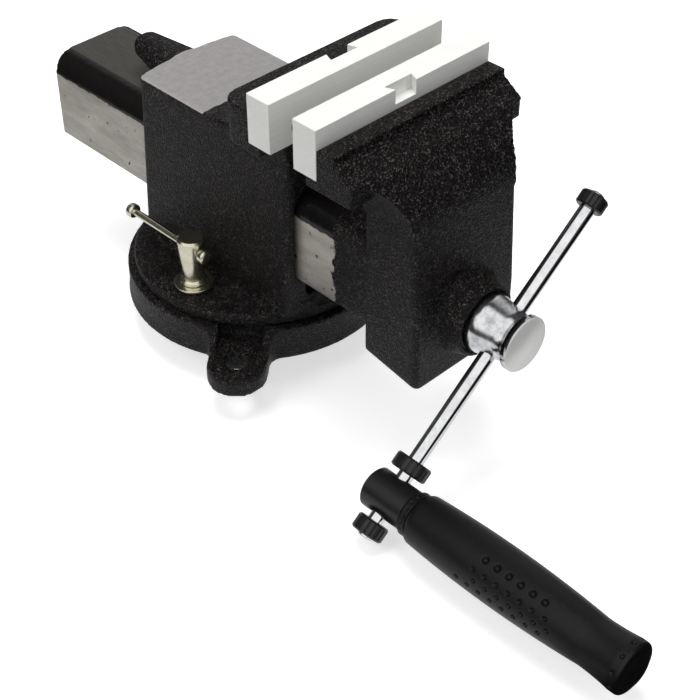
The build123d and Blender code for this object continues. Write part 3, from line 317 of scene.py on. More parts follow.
def milled_side(tree, place):
    """The bar's milled sides: bare steel grey with pits and a ragged paint edge."""
    axes = add_node(tree, "ShaderNodeSeparateXYZ", n0=place)
    away = add_node(tree, "ShaderNodeMath", {"operation": "ABSOLUTE"}, n0=axes.outputs["X"])
    mask = add_node(tree, "ShaderNodeMapRange", Value=away.outputs[0], n1=bar_half_width - skin_slack,
                    n2=bar_half_width - 0.4 * MM)
    outer = add_node(tree, "ShaderNodeMapRange", Value=away.outputs[0], n1=bar_half_width + skin_slack,
                     n2=bar_half_width + 0.9 * MM, n3=1.0, n4=0.0)
    ragged = add_node(tree, "ShaderNodeTexNoise", Vector=place, Scale=bar_rags, Detail=5.0)
    high = add_node(tree, "ShaderNodeMath", {"operation": "MULTIPLY_ADD"}, n0=ragged.outputs["Fac"], n1=bar_rag_rise,
                    n2=axes.outputs["Z"])
    under = add_node(tree, "ShaderNodeMapRange", Value=high.outputs[0], n1=bar_paint_line + 1.2 * MM,
                     n2=bar_paint_line + 1.7 * MM, n3=1.0, n4=0.0)
    along = add_node(tree, "ShaderNodeMath", {"operation": "MULTIPLY_ADD"}, n0=ragged.outputs["Fac"],
                     n1=bar_rag_reach, n2=axes.outputs["Y"])
    behind = add_node(tree, "ShaderNodeMapRange", Value=along.outputs[0], n1=bar_bare_front + 6.5 * MM,
                      n2=bar_bare_front + 7.5 * MM)
    for limit in (under, behind, outer):
        mask = add_node(tree, "ShaderNodeMath", {"operation": "MULTIPLY"}, n0=mask.outputs[0], n1=limit.outputs[0])
    streaks = add_node(tree, "ShaderNodeMapping", Vector=place, Scale=bar_side_streaks)
    lines = add_node(tree, "ShaderNodeTexNoise", Vector=streaks.outputs[0], Scale=1.0, Detail=5.0, Roughness=0.7)
    ramp = add_node(tree, "ShaderNodeValToRGB", Fac=lines.outputs["Fac"])
    for stop, (share, tone) in zip(ramp.color_ramp.elements, ((0.3, "#98938c"), (0.7, "#c0bbb3"))):
        stop.position, stop.color = share, linear(tone)
    pits = add_node(tree, "ShaderNodeTexNoise", Vector=place, Scale=bar_pits, Detail=1.5)
    sound = add_node(tree, "ShaderNodeMapRange", Value=pits.outputs["Fac"], n1=0.70, n2=0.75, n3=1.0, n4=0.0)
    colour = add_node(tree, "ShaderNodeMixRGB", Fac=sound.outputs[0], Color1=linear("#4e4a45"),
                      Color2=ramp.outputs["Color"])
    calm = add_node(tree, "ShaderNodeMath", {"operation": "MULTIPLY"}, n0=sound.outputs[0], n1=0.15)
    return mask.outputs[0], colour.outputs[0], 0.7, (0.4, 0.4, 0.4, 1.0), calm.outputs[0]


def milled_top(tree, place):
    """The bar's top: milled, and painted dark grey as a painted reflection of the dark surroundings it faces."""
    axes = add_node(tree, "ShaderNodeSeparateXYZ", n0=place)
    away = add_node(tree, "ShaderNodeMath", {"operation": "ABSOLUTE"}, n0=axes.outputs["X"])
    mask = add_node(tree, "ShaderNodeMapRange", Value=away.outputs[0], n1=bar_top_half_width,
                    n2=bar_top_half_width + 0.5 * MM, n3=1.0, n4=0.0)
    above = add_node(tree, "ShaderNodeMapRange", Value=axes.outputs["Z"], n1=bar_top - skin_slack - skin_fade,
                     n2=bar_top - skin_slack)
    below = add_node(tree, "ShaderNodeMapRange", Value=axes.outputs["Z"], n1=bar_top + skin_slack,
                     n2=bar_top + skin_slack + skin_fade, n3=1.0, n4=0.0)
    behind = add_node(tree, "ShaderNodeMapRange", Value=axes.outputs["Y"], n1=bar_bare_front, n2=bar_bare_front + MM)
    for limit in (above, below, behind):
        mask = add_node(tree, "ShaderNodeMath", {"operation": "MULTIPLY"}, n0=mask.outputs[0], n1=limit.outputs[0])
    streaks = add_node(tree, "ShaderNodeMapping", Vector=place, Scale=bar_top_streaks)
    lines = add_node(tree, "ShaderNodeTexNoise", Vector=streaks.outputs[0], Scale=1.0, Detail=4.0, Roughness=0.6)
    # Painted reflection: the bare top's dark grey stands in for the dark surroundings it mirrors.
    ramp = add_node(tree, "ShaderNodeValToRGB", Fac=lines.outputs["Fac"])
    for stop, tone in zip(ramp.color_ramp.elements, ("#34322f", "#55524e")):
        stop.color = linear(tone)
    calm = add_node(tree, "ShaderNodeMath", {"operation": "MULTIPLY"}, n0=lines.outputs["Fac"], n1=0.08)
    return mask.outputs[0], ramp.outputs["Color"], 0.5, (0.45, 0.45, 0.45, 1.0), calm.outputs[0]


def smooth_corner(tree, place):
    """The bar's rounded upper corners: the enamel lies thin and glossy there."""
    axes = add_node(tree, "ShaderNodeSeparateXYZ", n0=place)
    away = add_node(tree, "ShaderNodeMath", {"operation": "ABSOLUTE"}, n0=axes.outputs["X"])
    mask = add_node(tree, "ShaderNodeMapRange", Value=away.outputs[0], n1=bar_half_width + 0.5 * MM,
                    n2=bar_half_width + 0.8 * MM, n3=1.0, n4=0.0)
    low = add_node(tree, "ShaderNodeMapRange", Value=axes.outputs["Z"], n1=bar_top + skin_slack,
                   n2=bar_top + skin_slack + skin_fade, n3=1.0, n4=0.0)
    behind = add_node(tree, "ShaderNodeMapRange", Value=axes.outputs["Y"], n1=bar_bare_front, n2=bar_bare_front + MM)
    for limit in (low, behind):
        mask = add_node(tree, "ShaderNodeMath", {"operation": "MULTIPLY"}, n0=mask.outputs[0], n1=limit.outputs[0])
    peel = add_node(tree, "ShaderNodeTexNoise", Vector=place, Scale=bar_corner_peel, Detail=2.0)
    ramp = add_node(tree, "ShaderNodeValToRGB", Fac=peel.outputs["Fac"])
    for stop, tone in zip(ramp.color_ramp.elements, ("#0d0c0c", "#1a1817")):
        stop.color = linear(tone)
    calm = add_node(tree, "ShaderNodeMath", {"operation": "MULTIPLY"}, n0=peel.outputs["Fac"], n1=0.25)
    return mask.outputs[0], ramp.outputs["Color"], 0.0, (0.2, 0.2, 0.2, 1.0), calm.outputs[0]


def finish_with(material, *names):
    """Puts one material on CAD nodes."""
    for name in names:
        mesh = nodes[name].data
        mesh.materials.clear()
        mesh.materials.append(material)


def cast_skin(name, grain_size, rounds):
    """Softens a casting's edges as sand moulding does: one closed skin, then smoothed."""
    casting = nodes[name]
    weld = casting.modifiers.new("joined_skin", "WELD")
    weld.merge_threshold = 0.002 * MM
    skin = casting.modifiers.new("cast_skin", "REMESH")
    skin.mode = "VOXEL"
    skin.voxel_size = grain_size
    skin.use_smooth_shade = True
    soft = casting.modifiers.new("soft_edges", "SMOOTH")
    soft.factor = 0.5
    soft.iterations = rounds


def fettle(depth, *names):
    """Takes a hair off castings all over, so that their softened skins still clear each other."""
    for name in names:
        ground = nodes[name].modifiers.new("fettled_skin", "DISPLACE")
        ground.mid_level = 0.0
        ground.strength = -depth


finish_with(enamelled_iron("black_wrinkle_enamel_on_cast_iron"), "base_casting")
finish_with(enamelled_iron("wrinkle_enamel_with_ground_anvil", [ground_anvil]), "fixed_jaw")
finish_with(enamelled_iron("wrinkle_enamel_with_milled_slide_bar", [smooth_corner, milled_top, milled_side]),
            "moving_jaw")
for name, grain_size, rounds in (("base_casting", 1.1, 3), ("fixed_jaw", 1.3, 2), ("moving_jaw", 1.3, 2)):
    cast_skin(name, grain_size * MM, rounds)
fettle(0.3 * MM, "fixed_jaw", "moving_jaw")


# Jaw plates: extruded aluminium bar, milled all over and screwed on. It is pale
# and satin, with faint cutter lines along the length and lightly broken edges.


def ease_edges(width, *names):
    """Breaks the sharp edges of CAD nodes, as a file does."""
    for name in names:
        piece = nodes[name]
        weld = piece.modifiers.new("joined_faces", "WELD")
        weld.merge_threshold = 0.002 * MM
        bevel = piece.modifiers.new("broken_edges", "BEVEL")
        bevel.width = width
        bevel.segments = 2
        bevel.limit_method = "ANGLE"
        bevel.angle_limit = radians(32)
        bevel.harden_normals = True


# Milled aluminium: the cutter's lines, as counts per metre. They are 0.56 mm
# apart, coarser than the real 0.2 mm so that they show, and 25 mm long.
cutter_lines = (40.0, 1800.0, 1800.0)
plate_edge = 0.4 * MM
aluminium, tree, shader, place = new_material("milled_aluminium")
stretch = add_node(tree, "ShaderNodeMapping", Vector=place, Scale=cutter_lines)
lines = add_node(tree, "ShaderNodeTexNoise", Vector=stretch.outputs[0], Scale=1.0, Detail=3.0)
ramp = add_node(tree, "ShaderNodeValToRGB", Fac=lines.outputs["Fac"])
for stop, (share, tone) in zip(ramp.color_ramp.elements, ((0.25, "#e6e7e3"), (0.75, "#f4f4f1"))):
    stop.position, stop.color = share, linear(tone)
tree.links.new(ramp.outputs["Color"], shader.inputs["Base Color"])
shader.inputs["Metallic"].default_value = 0.2
shader.inputs["Roughness"].default_value = 0.52
bump = add_node(tree, "ShaderNodeBump", Strength=0.25, Distance=0.02 * MM, Height=lines.outputs["Fac"])
tree.links.new(bump.outputs[0], shader.inputs["Normal"])
finish_with(aluminium, "fixed_jaw_plate", "moving_jaw_plate")
ease_edges(plate_edge, "fixed_jaw_plate", "moving_jaw_plate")

# Socket screws: black oxide on alloy steel, oily and half matt. They hold the
# plates from the gripping faces and the spindle nut from below.
black_oxide, tree, shader, place = new_material("black_oxide_on_alloy_steel")
bloom = add_node(tree, "ShaderNodeTexNoise", Vector=place, Scale=350.0, Detail=4.0)
ramp = add_node(tree, "ShaderNodeValToRGB", Fac=bloom.outputs["Fac"])
for stop, tone in zip(ramp.color_ramp.elements, ("#161617", "#2f2e2e")):
    stop.color = linear(tone)
tree.links.new(ramp.outputs["Color"], shader.inputs["Base Color"])
shader.inputs["Metallic"].default_value = 0.8
shader.inputs["Roughness"].default_value = 0.38
finish_with(black_oxide, "fixed_plate_screws", "moving_plate_screws", "nut_screws", "hub_set_screw")
ease_edges(0.3 * MM, "fixed_plate_screws", "moving_plate_screws", "nut_screws")


# Spindle: turned steel. Its head and end disc are polished and chromium
# plated. The screw behind them has a square thread of 4 mm pitch, left oiled.


def placed(name, mesh, body, replaced=()):
    """A finished piece from a mesh in its place: smooth faces, sharp corners, riding on its body."""
    mesh.polygons.foreach_set("use_smooth", [True] * len(mesh.polygons))
    mesh.set_sharp_from_angle(angle=radians(32))
    mesh.name = name
    piece = bpy.data.objects.new(name, mesh)
    scene.collection.objects.link(piece)
    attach(piece, body)
    if replaced:
        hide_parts(*replaced)
    return piece


def turned(name, outline, sides):
    """A closed mesh turned about Z from (radius, height) points in millimetres. An outline that starts and
    ends on the axis gives a solid, and any other one closes on itself as a ring."""
    bm = bmesh.new()
    rings = []
    for radius, height in outline:
        if radius == 0:
            rings.append([bm.verts.new((0, 0, height * MM))])
            continue
        rings.append([
            bm.verts.new((radius * MM * cos(2 * pi * k / sides), radius * MM * sin(2 * pi * k / sides), height * MM))
            for k in range(sides)
        ])
    solid = len(rings[0]) == 1
    pairs = list(zip(rings, rings[1:])) if solid else list(zip(rings, rings[1:] + rings[:1]))
    for one, other in pairs:
        for k in range(sides):
            corners = [one[k % len(one)], one[(k + 1) % len(one)], other[(k + 1) % len(other)], other[k % len(other)]]
            bm.faces.new(dict.fromkeys(corners))
    bmesh.ops.recalc_face_normals(bm, faces=bm.faces)
    mesh = bpy.data.meshes.new(name)
    bm.to_mesh(mesh)
    bm.free()
    return mesh


def stand_along(direction, x, y, z):
    """The matrix that takes the Z axis to a direction through a point in millimetres."""
    turn = Vector((0, 0, 1)).rotation_difference(Vector(direction)).to_matrix().to_4x4()
    return Matrix.Translation((x * MM, y * MM, z * MM)) @ turn


def new_tree(name):
    """An empty Geometry Nodes tree. Returns (tree, its group input)."""
    tree = bpy.data.node_groups.new(name, "GeometryNodeTree")
    tree.interface.new_socket("Geometry", in_out="INPUT", socket_type="NodeSocketGeometry")
    tree.interface.new_socket("Geometry", in_out="OUTPUT", socket_type="NodeSocketGeometry")
    inputs = tree.nodes.new("NodeGroupInput")
    return tree, inputs


def size_input(tree, inputs, name, value):
    """A named input of a tree, a count or a size. Returns its socket inside the tree."""
    kind = "NodeSocketInt" if isinstance(value, int) else "NodeSocketFloat"
    tree.interface.new_socket(name, in_out="INPUT", socket_type=kind).default_value = value
    return inputs.outputs[name]


def close_tree(tree, geometry, material):
    """Ends a tree: instances made real, its material set."""
    real = add_node(tree, "GeometryNodeRealizeInstances", Geometry=geometry)
    dressed = add_node(tree, "GeometryNodeSetMaterial", Geometry=real.outputs[0], Material=material)
    end = tree.nodes.new("NodeGroupOutput")
    tree.links.new(dressed.outputs[0], end.inputs[0])


def worked(mesh, tree, sizes):
    """A mesh after a Geometry Nodes tree has worked on it, as a plain mesh."""
    blank = bpy.data.objects.new("blank", mesh)
    scene.collection.objects.link(blank)
    modifier = blank.modifiers.new("work", "NODES")
    modifier.node_group = tree
    for item in tree.interface.items_tree:
        if item.in_out == "INPUT" and item.name in sizes:
            modifier[item.identifier] = sizes[item.name]
    graph = bpy.context.evaluated_depsgraph_get()
    result = bpy.data.meshes.new_from_object(blank.evaluated_get(graph), depsgraph=graph)
    bpy.data.objects.remove(blank)
    return result


def polar(tree):
    """Sockets of a point about the Z axis: its outward direction, height, angle and radius."""
    position = add_node(tree, "GeometryNodeInputPosition")
    axes = add_node(tree, "ShaderNodeSeparateXYZ", n0=position.outputs[0])
    flat = add_node(tree, "ShaderNodeVectorMath", {"operation": "MULTIPLY"}, n0=position.outputs[0], n1=(1, 1, 0))
    radius = add_node(tree, "ShaderNodeVectorMath", {"operation": "LENGTH"}, n0=flat.outputs[0])
    outwards = add_node(tree, "ShaderNodeVectorMath", {"operation": "NORMALIZE"}, n0=flat.outputs[0])
    angle = add_node(tree, "ShaderNodeMath", {"operation": "ARCTAN2"}, n0=axes.outputs["Y"], n1=axes.outputs["X"])
    return outwards.outputs[0], axes.outputs["Z"], angle.outputs[0], radius.outputs["Value"]


def cut_inwards(tree, geometry, outwards, depth):
    """Moves points towards the axis by a depth."""
    inwards = add_node(tree, "ShaderNodeMath", {"operation": "MULTIPLY"}, n0=depth, n1=-1.0)
    offset = add_node(tree, "ShaderNodeVectorMath", {"operation": "SCALE"}, n0=outwards, Scale=inwards.outputs[0])
    return add_node(tree, "GeometryNodeSetPosition", Geometry=geometry, Offset=offset.outputs[0]).outputs[0]


# Chromium plate over turned steel. It mirrors, but is clouded by handling, and
# the end disc's faced front is matt. Scales are counts per metre.
smears = 130.0
plating_pits = 900.0
faced_end = -206.6 * MM


def chromium(name, least_rough, most_rough, dull):
    """Chromium plate with roughness between two values and a colour for its dull clouds."""
    material, tree, shader, place = new_material(name)
    smear = add_node(tree, "ShaderNodeTexNoise", Vector=place, Scale=smears, Detail=5.0, Roughness=0.7)
    rough = add_node(tree, "ShaderNodeMapRange", Value=smear.outputs["Fac"], n1=0.3, n2=0.7, n3=least_rough,
                     n4=most_rough)
    ramp = add_node(tree, "ShaderNodeValToRGB", Fac=smear.outputs["Fac"])
    for stop, (share, tone) in zip(ramp.color_ramp.elements, ((0.3, dull), (0.6, "#eeeeef"))):
        stop.position, stop.color = share, linear(tone)
    pits = add_node(tree, "ShaderNodeTexNoise", Vector=place, Scale=plating_pits, Detail=3.0)
    axes = add_node(tree, "ShaderNodeSeparateXYZ", n0=place)
    faced = add_node(tree, "ShaderNodeMapRange", Value=axes.outputs["Y"], n1=faced_end, n2=faced_end + 0.3 * MM,
                     n3=1.0, n4=0.0)
    colour = add_node(tree, "ShaderNodeMixRGB", Fac=faced.outputs[0], Color1=ramp.outputs["Color"],
                      Color2=linear("#f4f4f3"))
    rough = add_node(tree, "ShaderNodeMixRGB", Fac=faced.outputs[0], Color1=rough.outputs[0],
                     Color2=(0.5, 0.5, 0.5, 1.0))
    metallic = add_node(tree, "ShaderNodeMapRange", Value=faced.outputs[0], n3=1.0, n4=0.55)
    tree.links.new(colour.outputs[0], shader.inputs["Base Color"])
    tree.links.new(metallic.outputs[0], shader.inputs["Metallic"])
    tree.links.new(rough.outputs[0], shader.inputs["Roughness"])
    bump = add_node(tree, "ShaderNodeBump", Strength=0.3, Distance=0.01 * MM, Height=pits.outputs["Fac"])
    tree.links.new(bump.outputs[0], shader.inputs["Normal"])
    return material


head_chrome = chromium("satin_chromium_plate", 0.12, 0.24, "#aaadb2")
rod_chrome = chromium("bright_chromium_plate", 0.04, 0.1, "#d6d6da")

# Bare steel from the lathe, oiled: grey with brownish stains about 4 mm wide.
steel, tree, shader, place = new_material("turned_oiled_steel")
stain = add_node(tree, "ShaderNodeTexNoise", Vector=place, Scale=240.0, Detail=4.0)
ramp = add_node(tree, "ShaderNodeValToRGB", Fac=stain.outputs["Fac"])
for stop, tone in zip(ramp.color_ramp.elements, ("#77736d", "#a09c95")):
    stop.color = linear(tone)
tree.links.new(ramp.outputs["Color"], shader.inputs["Base Color"])
shader.inputs["Metallic"].default_value = 1.0
shader.inputs["Roughness"].default_value = 0.35

spindle_height = 68.0
thread_start = -125.6
thread_end = 128.5
thread_radius = 9.0
thread_pitch = 4.0
thread_depth = 1.9
thread_sides = 48
thread_rings_per_turn = 10
thread_run_out = 2.0

# The head is the CAD solid up to the screw, cut off there and closed again.
bm = bmesh.new()
bm.from_mesh(nodes["spindle"].data)
bmesh.ops.remove_doubles(bm, verts=bm.verts, dist=0.002 * MM)
cut = bmesh.ops.bisect_plane(bm, geom=[*bm.verts, *bm.edges, *bm.faces], plane_co=(0, (thread_start - 0.1) * MM, 0),
                             plane_no=(0, 1, 0), clear_outer=True)
bmesh.ops.holes_fill(bm, edges=[part for part in cut["geom_cut"] if isinstance(part, bmesh.types.BMEdge)])
head_mesh = bpy.data.meshes.new("spindle_head")
bm.to_mesh(head_mesh)
bm.free()
head_mesh.materials.clear()
head_mesh.materials.append(head_chrome)
placed("spindle_head", head_mesh, "spindle", ["spindle"])

tree, inputs = new_tree("square_thread")
pitch = size_input(tree, inputs, "Pitch", thread_pitch * MM)
depth = size_input(tree, inputs, "Depth", thread_depth * MM)
crest = size_input(tree, inputs, "Crest Radius", thread_radius * MM)
outwards, height, angle, radius = polar(tree)
turns = add_node(tree, "ShaderNodeMath", {"operation": "DIVIDE"}, n0=height, n1=pitch)
share = add_node(tree, "ShaderNodeMath", {"operation": "DIVIDE"}, n0=angle, n1=2 * pi)
phase = add_node(tree, "ShaderNodeMath", {"operation": "SUBTRACT"}, n0=turns.outputs[0], n1=share.outputs[0])
wave = add_node(tree, "ShaderNodeMath", {"operation": "PINGPONG"}, n0=phase.outputs[0], n1=0.5)
groove = add_node(tree, "ShaderNodeMapRange", Value=wave.outputs[0], n1=0.2, n2=0.3)
skin = add_node(tree, "ShaderNodeMath", {"operation": "SUBTRACT"}, n0=crest, n1=0.05 * MM)
on_skin = add_node(tree, "ShaderNodeMath", {"operation": "GREATER_THAN"}, n0=radius, n1=skin.outputs[0])
amount = groove
for factor in (on_skin.outputs[0], depth):
    amount = add_node(tree, "ShaderNodeMath", {"operation": "MULTIPLY"}, n0=amount.outputs[0], n1=factor)
close_tree(tree, cut_inwards(tree, inputs.outputs[0], outwards, amount.outputs[0]), steel)

ring_step = thread_pitch / thread_rings_per_turn
ring_count = round((thread_end - thread_start - 2 * thread_run_out) / ring_step)
thread_outline = [(0, thread_start), (thread_radius - thread_depth, thread_start)]
thread_outline += [(thread_radius, thread_start + thread_run_out + ring_step * k) for k in range(ring_count)]
thread_outline += [(thread_radius - thread_depth, thread_end), (0, thread_end)]
screw_mesh = worked(turned("spindle_screw", thread_outline, thread_sides), tree, {})
screw_mesh.transform(stand_along((0, 1, 0), 0, 0, spindle_height))
placed("spindle_screw", screw_mesh, "spindle")

# The handle's rod is bright drawn bar, plated. The small turned pieces behind
# the head and the grip's axle are left bare.
finish_with(rod_chrome, "handle_rod")
finish_with(steel, "thrust_washer", "spring_washer", "spindle_spring", "spindle_collar", "collar_pin", "grip_axle")
ease_edges(0.3 * MM, "thrust_washer", "spring_washer", "spindle_collar")

# Spindle nut: a grey iron casting, bored and tapped, bare and a little rusty.
nut_iron, tree, shader, place = new_material("bare_grey_cast_iron")
sand = add_node(tree, "ShaderNodeTexNoise", Vector=place, Scale=320.0, Detail=6.0, Roughness=0.7)
ramp = add_node(tree, "ShaderNodeValToRGB", Fac=sand.outputs["Fac"])
for stop, tone in zip(ramp.color_ramp.elements, ("#3b3836", "#6c6662")):
    stop.color = linear(tone)
tree.links.new(ramp.outputs["Color"], shader.inputs["Base Color"])
shader.inputs["Metallic"].default_value = 0.6
shader.inputs["Roughness"].default_value = 0.6
bump = add_node(tree, "ShaderNodeBump", Strength=0.6, Distance=0.3 * MM, Height=sand.outputs["Fac"])
tree.links.new(bump.outputs[0], shader.inputs["Normal"])
finish_with(nut_iron, "spindle_nut")
ease_edges(0.8 * MM, "spindle_nut")


# Swivel locks: free-cutting steel, turned, zinc plated and passivated yellow.
# The lathe's rings are drawn 0.4 mm apart, coarser than the real 0.2 mm. Each
# bar's ends are pressed on, so that it can't leave its nut.
lathe_rings = (60.0, 60.0, 2600.0)
zinc, tree, shader, place = new_material("yellow_passivated_zinc")
cloud = add_node(tree, "ShaderNodeTexNoise", Vector=place, Scale=160.0, Detail=4.0)
ramp = add_node(tree, "ShaderNodeValToRGB", Fac=cloud.outputs["Fac"])
for stop, (share, tone) in zip(ramp.color_ramp.elements, ((0.3, "#d3cfb4"), (0.7, "#e8e5d4"))):
    stop.position, stop.color = share, linear(tone)
turning = add_node(tree, "ShaderNodeMapping", Vector=place, Scale=lathe_rings)
tool_marks = add_node(tree, "ShaderNodeTexNoise", Vector=turning.outputs[0], Scale=1.0, Detail=2.0)
rough = add_node(tree, "ShaderNodeMapRange", Value=cloud.outputs["Fac"], n3=0.16, n4=0.28)
tree.links.new(ramp.outputs["Color"], shader.inputs["Base Color"])
tree.links.new(rough.outputs[0], shader.inputs["Roughness"])
shader.inputs["Metallic"].default_value = 1.0
bump = add_node(tree, "ShaderNodeBump", Strength=0.2, Distance=0.01 * MM, Height=tool_marks.outputs["Fac"])
tree.links.new(bump.outputs[0], shader.inputs["Normal"])
lock_pieces = ("lock_nut", "lock_washer", "lock_bar", "lock_bar_ends", "lock_bolt")
finish_with(zinc, *(f"{piece}_{side}" for piece in lock_pieces for side in ("left", "right")))
ease_edges(0.35 * MM, *(f"{piece}_{side}" for piece in ("lock_nut", "lock_washer") for side in ("left", "right")))


# Rod fittings: steel cap, ring nut and end nut, ribbed on a press and coated
# with black gloss enamel. The hub is turned from bar with the same coat.
# The enamel has a faint orange peel, 1.4 mm across.
orange_peel = 700.0
gloss_black, tree, shader, place = new_material("black_gloss_enamel_on_steel")
peel = add_node(tree, "ShaderNodeTexNoise", Vector=place, Scale=orange_peel, Detail=2.0)
rough = add_node(tree, "ShaderNodeMapRange", Value=peel.outputs["Fac"], n3=0.26, n4=0.42)
shader.inputs["Base Color"].default_value = linear("#141414")
tree.links.new(rough.outputs[0], shader.inputs["Roughness"])
bump = add_node(tree, "ShaderNodeBump", Strength=0.2, Distance=0.03 * MM, Height=peel.outputs["Fac"])
tree.links.new(bump.outputs[0], shader.inputs["Normal"])
finish_with(gloss_black, "grip_hub")

tree, inputs = new_tree("pressed_ribs")
rib_count = size_input(tree, inputs, "Ribs", 18)
groove_depth = size_input(tree, inputs, "Groove Depth", 0.8 * MM)
groove_share = size_input(tree, inputs, "Groove Share", 0.4)
length = size_input(tree, inputs, "Length", 8 * MM)
rim = size_input(tree, inputs, "Rim", 1.2 * MM)
skin_radius = size_input(tree, inputs, "Skin Radius", 8 * MM)
outwards, height, angle, radius = polar(tree)
ribs_per_radian = add_node(tree, "ShaderNodeMath", {"operation": "DIVIDE"}, n0=rib_count, n1=2 * pi)
phase = add_node(tree, "ShaderNodeMath", {"operation": "MULTIPLY"}, n0=angle, n1=ribs_per_radian.outputs[0])
wave = add_node(tree, "ShaderNodeMath", {"operation": "PINGPONG"}, n0=phase.outputs[0], n1=0.5)
half_share = add_node(tree, "ShaderNodeMath", {"operation": "MULTIPLY"}, n0=groove_share, n1=0.5)
flat_share = add_node(tree, "ShaderNodeMath", {"operation": "MULTIPLY"}, n0=groove_share, n1=0.25)
groove = add_node(tree, "ShaderNodeMapRange", {"interpolation_type": "SMOOTHSTEP"}, Value=wave.outputs[0],
                  n1=flat_share.outputs[0], n2=half_share.outputs[0], n3=1.0, n4=0.0)
to_end = add_node(tree, "ShaderNodeMath", {"operation": "SUBTRACT"}, n0=length, n1=height)
nearest_end = add_node(tree, "ShaderNodeMath", {"operation": "MINIMUM"}, n0=height, n1=to_end.outputs[0])
rim_end = add_node(tree, "ShaderNodeMath", {"operation": "ADD"}, n0=rim, n1=0.3 * MM)
between = add_node(tree, "ShaderNodeMapRange", Value=nearest_end.outputs[0], n1=rim, n2=rim_end.outputs[0])
inner_limit = add_node(tree, "ShaderNodeMath", {"operation": "MULTIPLY"}, n0=skin_radius, n1=0.9)
on_skin = add_node(tree, "ShaderNodeMath", {"operation": "GREATER_THAN"}, n0=radius, n1=inner_limit.outputs[0])
amount = groove
for factor in (between.outputs[0], on_skin.outputs[0], groove_depth):
    amount = add_node(tree, "ShaderNodeMath", {"operation": "MULTIPLY"}, n0=amount.outputs[0], n1=factor)
close_tree(tree, cut_inwards(tree, inputs.outputs[0], outwards, amount.outputs[0]), gloss_black)

rod_angle = radians(37.5)
rod_direction = (cos(rod_angle), 0, sin(rod_angle))
rod_line_y = -191.88
rod_bore = 4.55
nut_sides = 18 * 16
nut_rings = 16
nut_edge = 0.9
# Each piece's start along the rod, its length and its radius, in millimetres.
ribbed_pieces = {
    "rod_cap": (78.0, 8.0, 8.0),
    "ring_nut": (-89.0, 8.3, 10.3),
    "end_nut": (-126.8, 8.6, 9.0),
}
for name, (start, long, wide) in ribbed_pieces.items():
    outline = [(rod_bore, 0), (wide - nut_edge, 0), (wide, nut_edge)]
    outline += [(wide, nut_edge + (long - 2 * nut_edge) * k / nut_rings) for k in range(1, nut_rings + 1)]
    outline += [(wide - nut_edge, long), (rod_bore, long)]
    mesh = worked(turned(name, outline, nut_sides), tree, {"Length": long * MM, "Skin Radius": wide * MM})
    mesh.transform(stand_along(rod_direction, start * rod_direction[0], rod_line_y,
                               spindle_height + start * rod_direction[2]))
    placed(f"{name}_ribbed", mesh, "rod", [name])

# The rod's turned ends stand a little proud of the cap and of the end nut.
tip_outline = [(0, -1.0), (4.5, -1.0), (4.5, 0.7), (4.2, 1.2), (3.4, 1.6), (0, 1.8)]
tip_sides = 64
for name, start, way in (("rod_tip_upper", 86.0, 1), ("rod_tip_lower", -126.8, -1)):
    mesh = turned(name, tip_outline, tip_sides)
    mesh.materials.append(rod_chrome)
    mesh.transform(stand_along([way * part for part in rod_direction], start * rod_direction[0], rod_line_y,
                               spindle_height + start * rod_direction[2]))
    placed(name, mesh, "rod")


# Grip: moulded black nylon with a satin skin, turning on a bolt. A collar with
# a ring of dots parts it from the hub, and rows of dimples lie under the palm.
# The mould's fine grain is drawn 0.7 mm across, coarser than the real 0.2 mm.
mould_grain = 1400.0
nylon, tree, shader, place = new_material("moulded_satin_nylon")
skin = add_node(tree, "ShaderNodeTexNoise", Vector=place, Scale=mould_grain, Detail=2.0)
rough = add_node(tree, "ShaderNodeMapRange", Value=skin.outputs["Fac"], n3=0.36, n4=0.48)
shader.inputs["Base Color"].default_value = linear("#0d0d0e")
shader.inputs["Specular IOR Level"].default_value = 0.3
tree.links.new(rough.outputs[0], shader.inputs["Roughness"])
bump = add_node(tree, "ShaderNodeBump", Strength=0.15, Distance=0.03 * MM, Height=skin.outputs["Fac"])
tree.links.new(bump.outputs[0], shader.inputs["Normal"])

tree, inputs = new_tree("row_of_dimples")
count = size_input(tree, inputs, "Count", 6)
middle_angle = size_input(tree, inputs, "Middle Angle", 0.0)
middle_height = size_input(tree, inputs, "Middle Height", 0.0)
angle_step = size_input(tree, inputs, "Angle Step", 0.0)
height_step = size_input(tree, inputs, "Height Step", 7 * MM)
dot_radius = size_input(tree, inputs, "Dot Radius", 1.2 * MM)
dot_depth = size_input(tree, inputs, "Dot Depth", 0.8 * MM)
skin_radius = size_input(tree, inputs, "Skin Radius", 15 * MM)
outwards, height, angle, radius = polar(tree)
turn = add_node(tree, "ShaderNodeMath", {"operation": "SUBTRACT"}, n0=angle, n1=middle_angle)
turn = add_node(tree, "ShaderNodeMath", {"operation": "WRAP"}, n0=turn.outputs[0], n1=pi, n2=-pi)
across = add_node(tree, "ShaderNodeMath", {"operation": "MULTIPLY"}, n0=turn.outputs[0], n1=skin_radius)
along = add_node(tree, "ShaderNodeMath", {"operation": "SUBTRACT"}, n0=height, n1=middle_height)
unrolled = add_node(tree, "ShaderNodeCombineXYZ", X=across.outputs[0], Y=along.outputs[0])
step_across = add_node(tree, "ShaderNodeMath", {"operation": "MULTIPLY"}, n0=angle_step, n1=skin_radius)
step = add_node(tree, "ShaderNodeCombineXYZ", X=step_across.outputs[0], Y=height_step)
steps_back = add_node(tree, "ShaderNodeMath", {"operation": "MULTIPLY_ADD"}, n0=count, n1=-0.5, n2=0.5)
first = add_node(tree, "ShaderNodeVectorMath", {"operation": "SCALE"}, n0=step.outputs[0], Scale=steps_back.outputs[0])
dots = add_node(tree, "GeometryNodeMeshLine", {"mode": "OFFSET"}, Count=count, Start_Location=first.outputs[0],
                Offset=step.outputs[0])
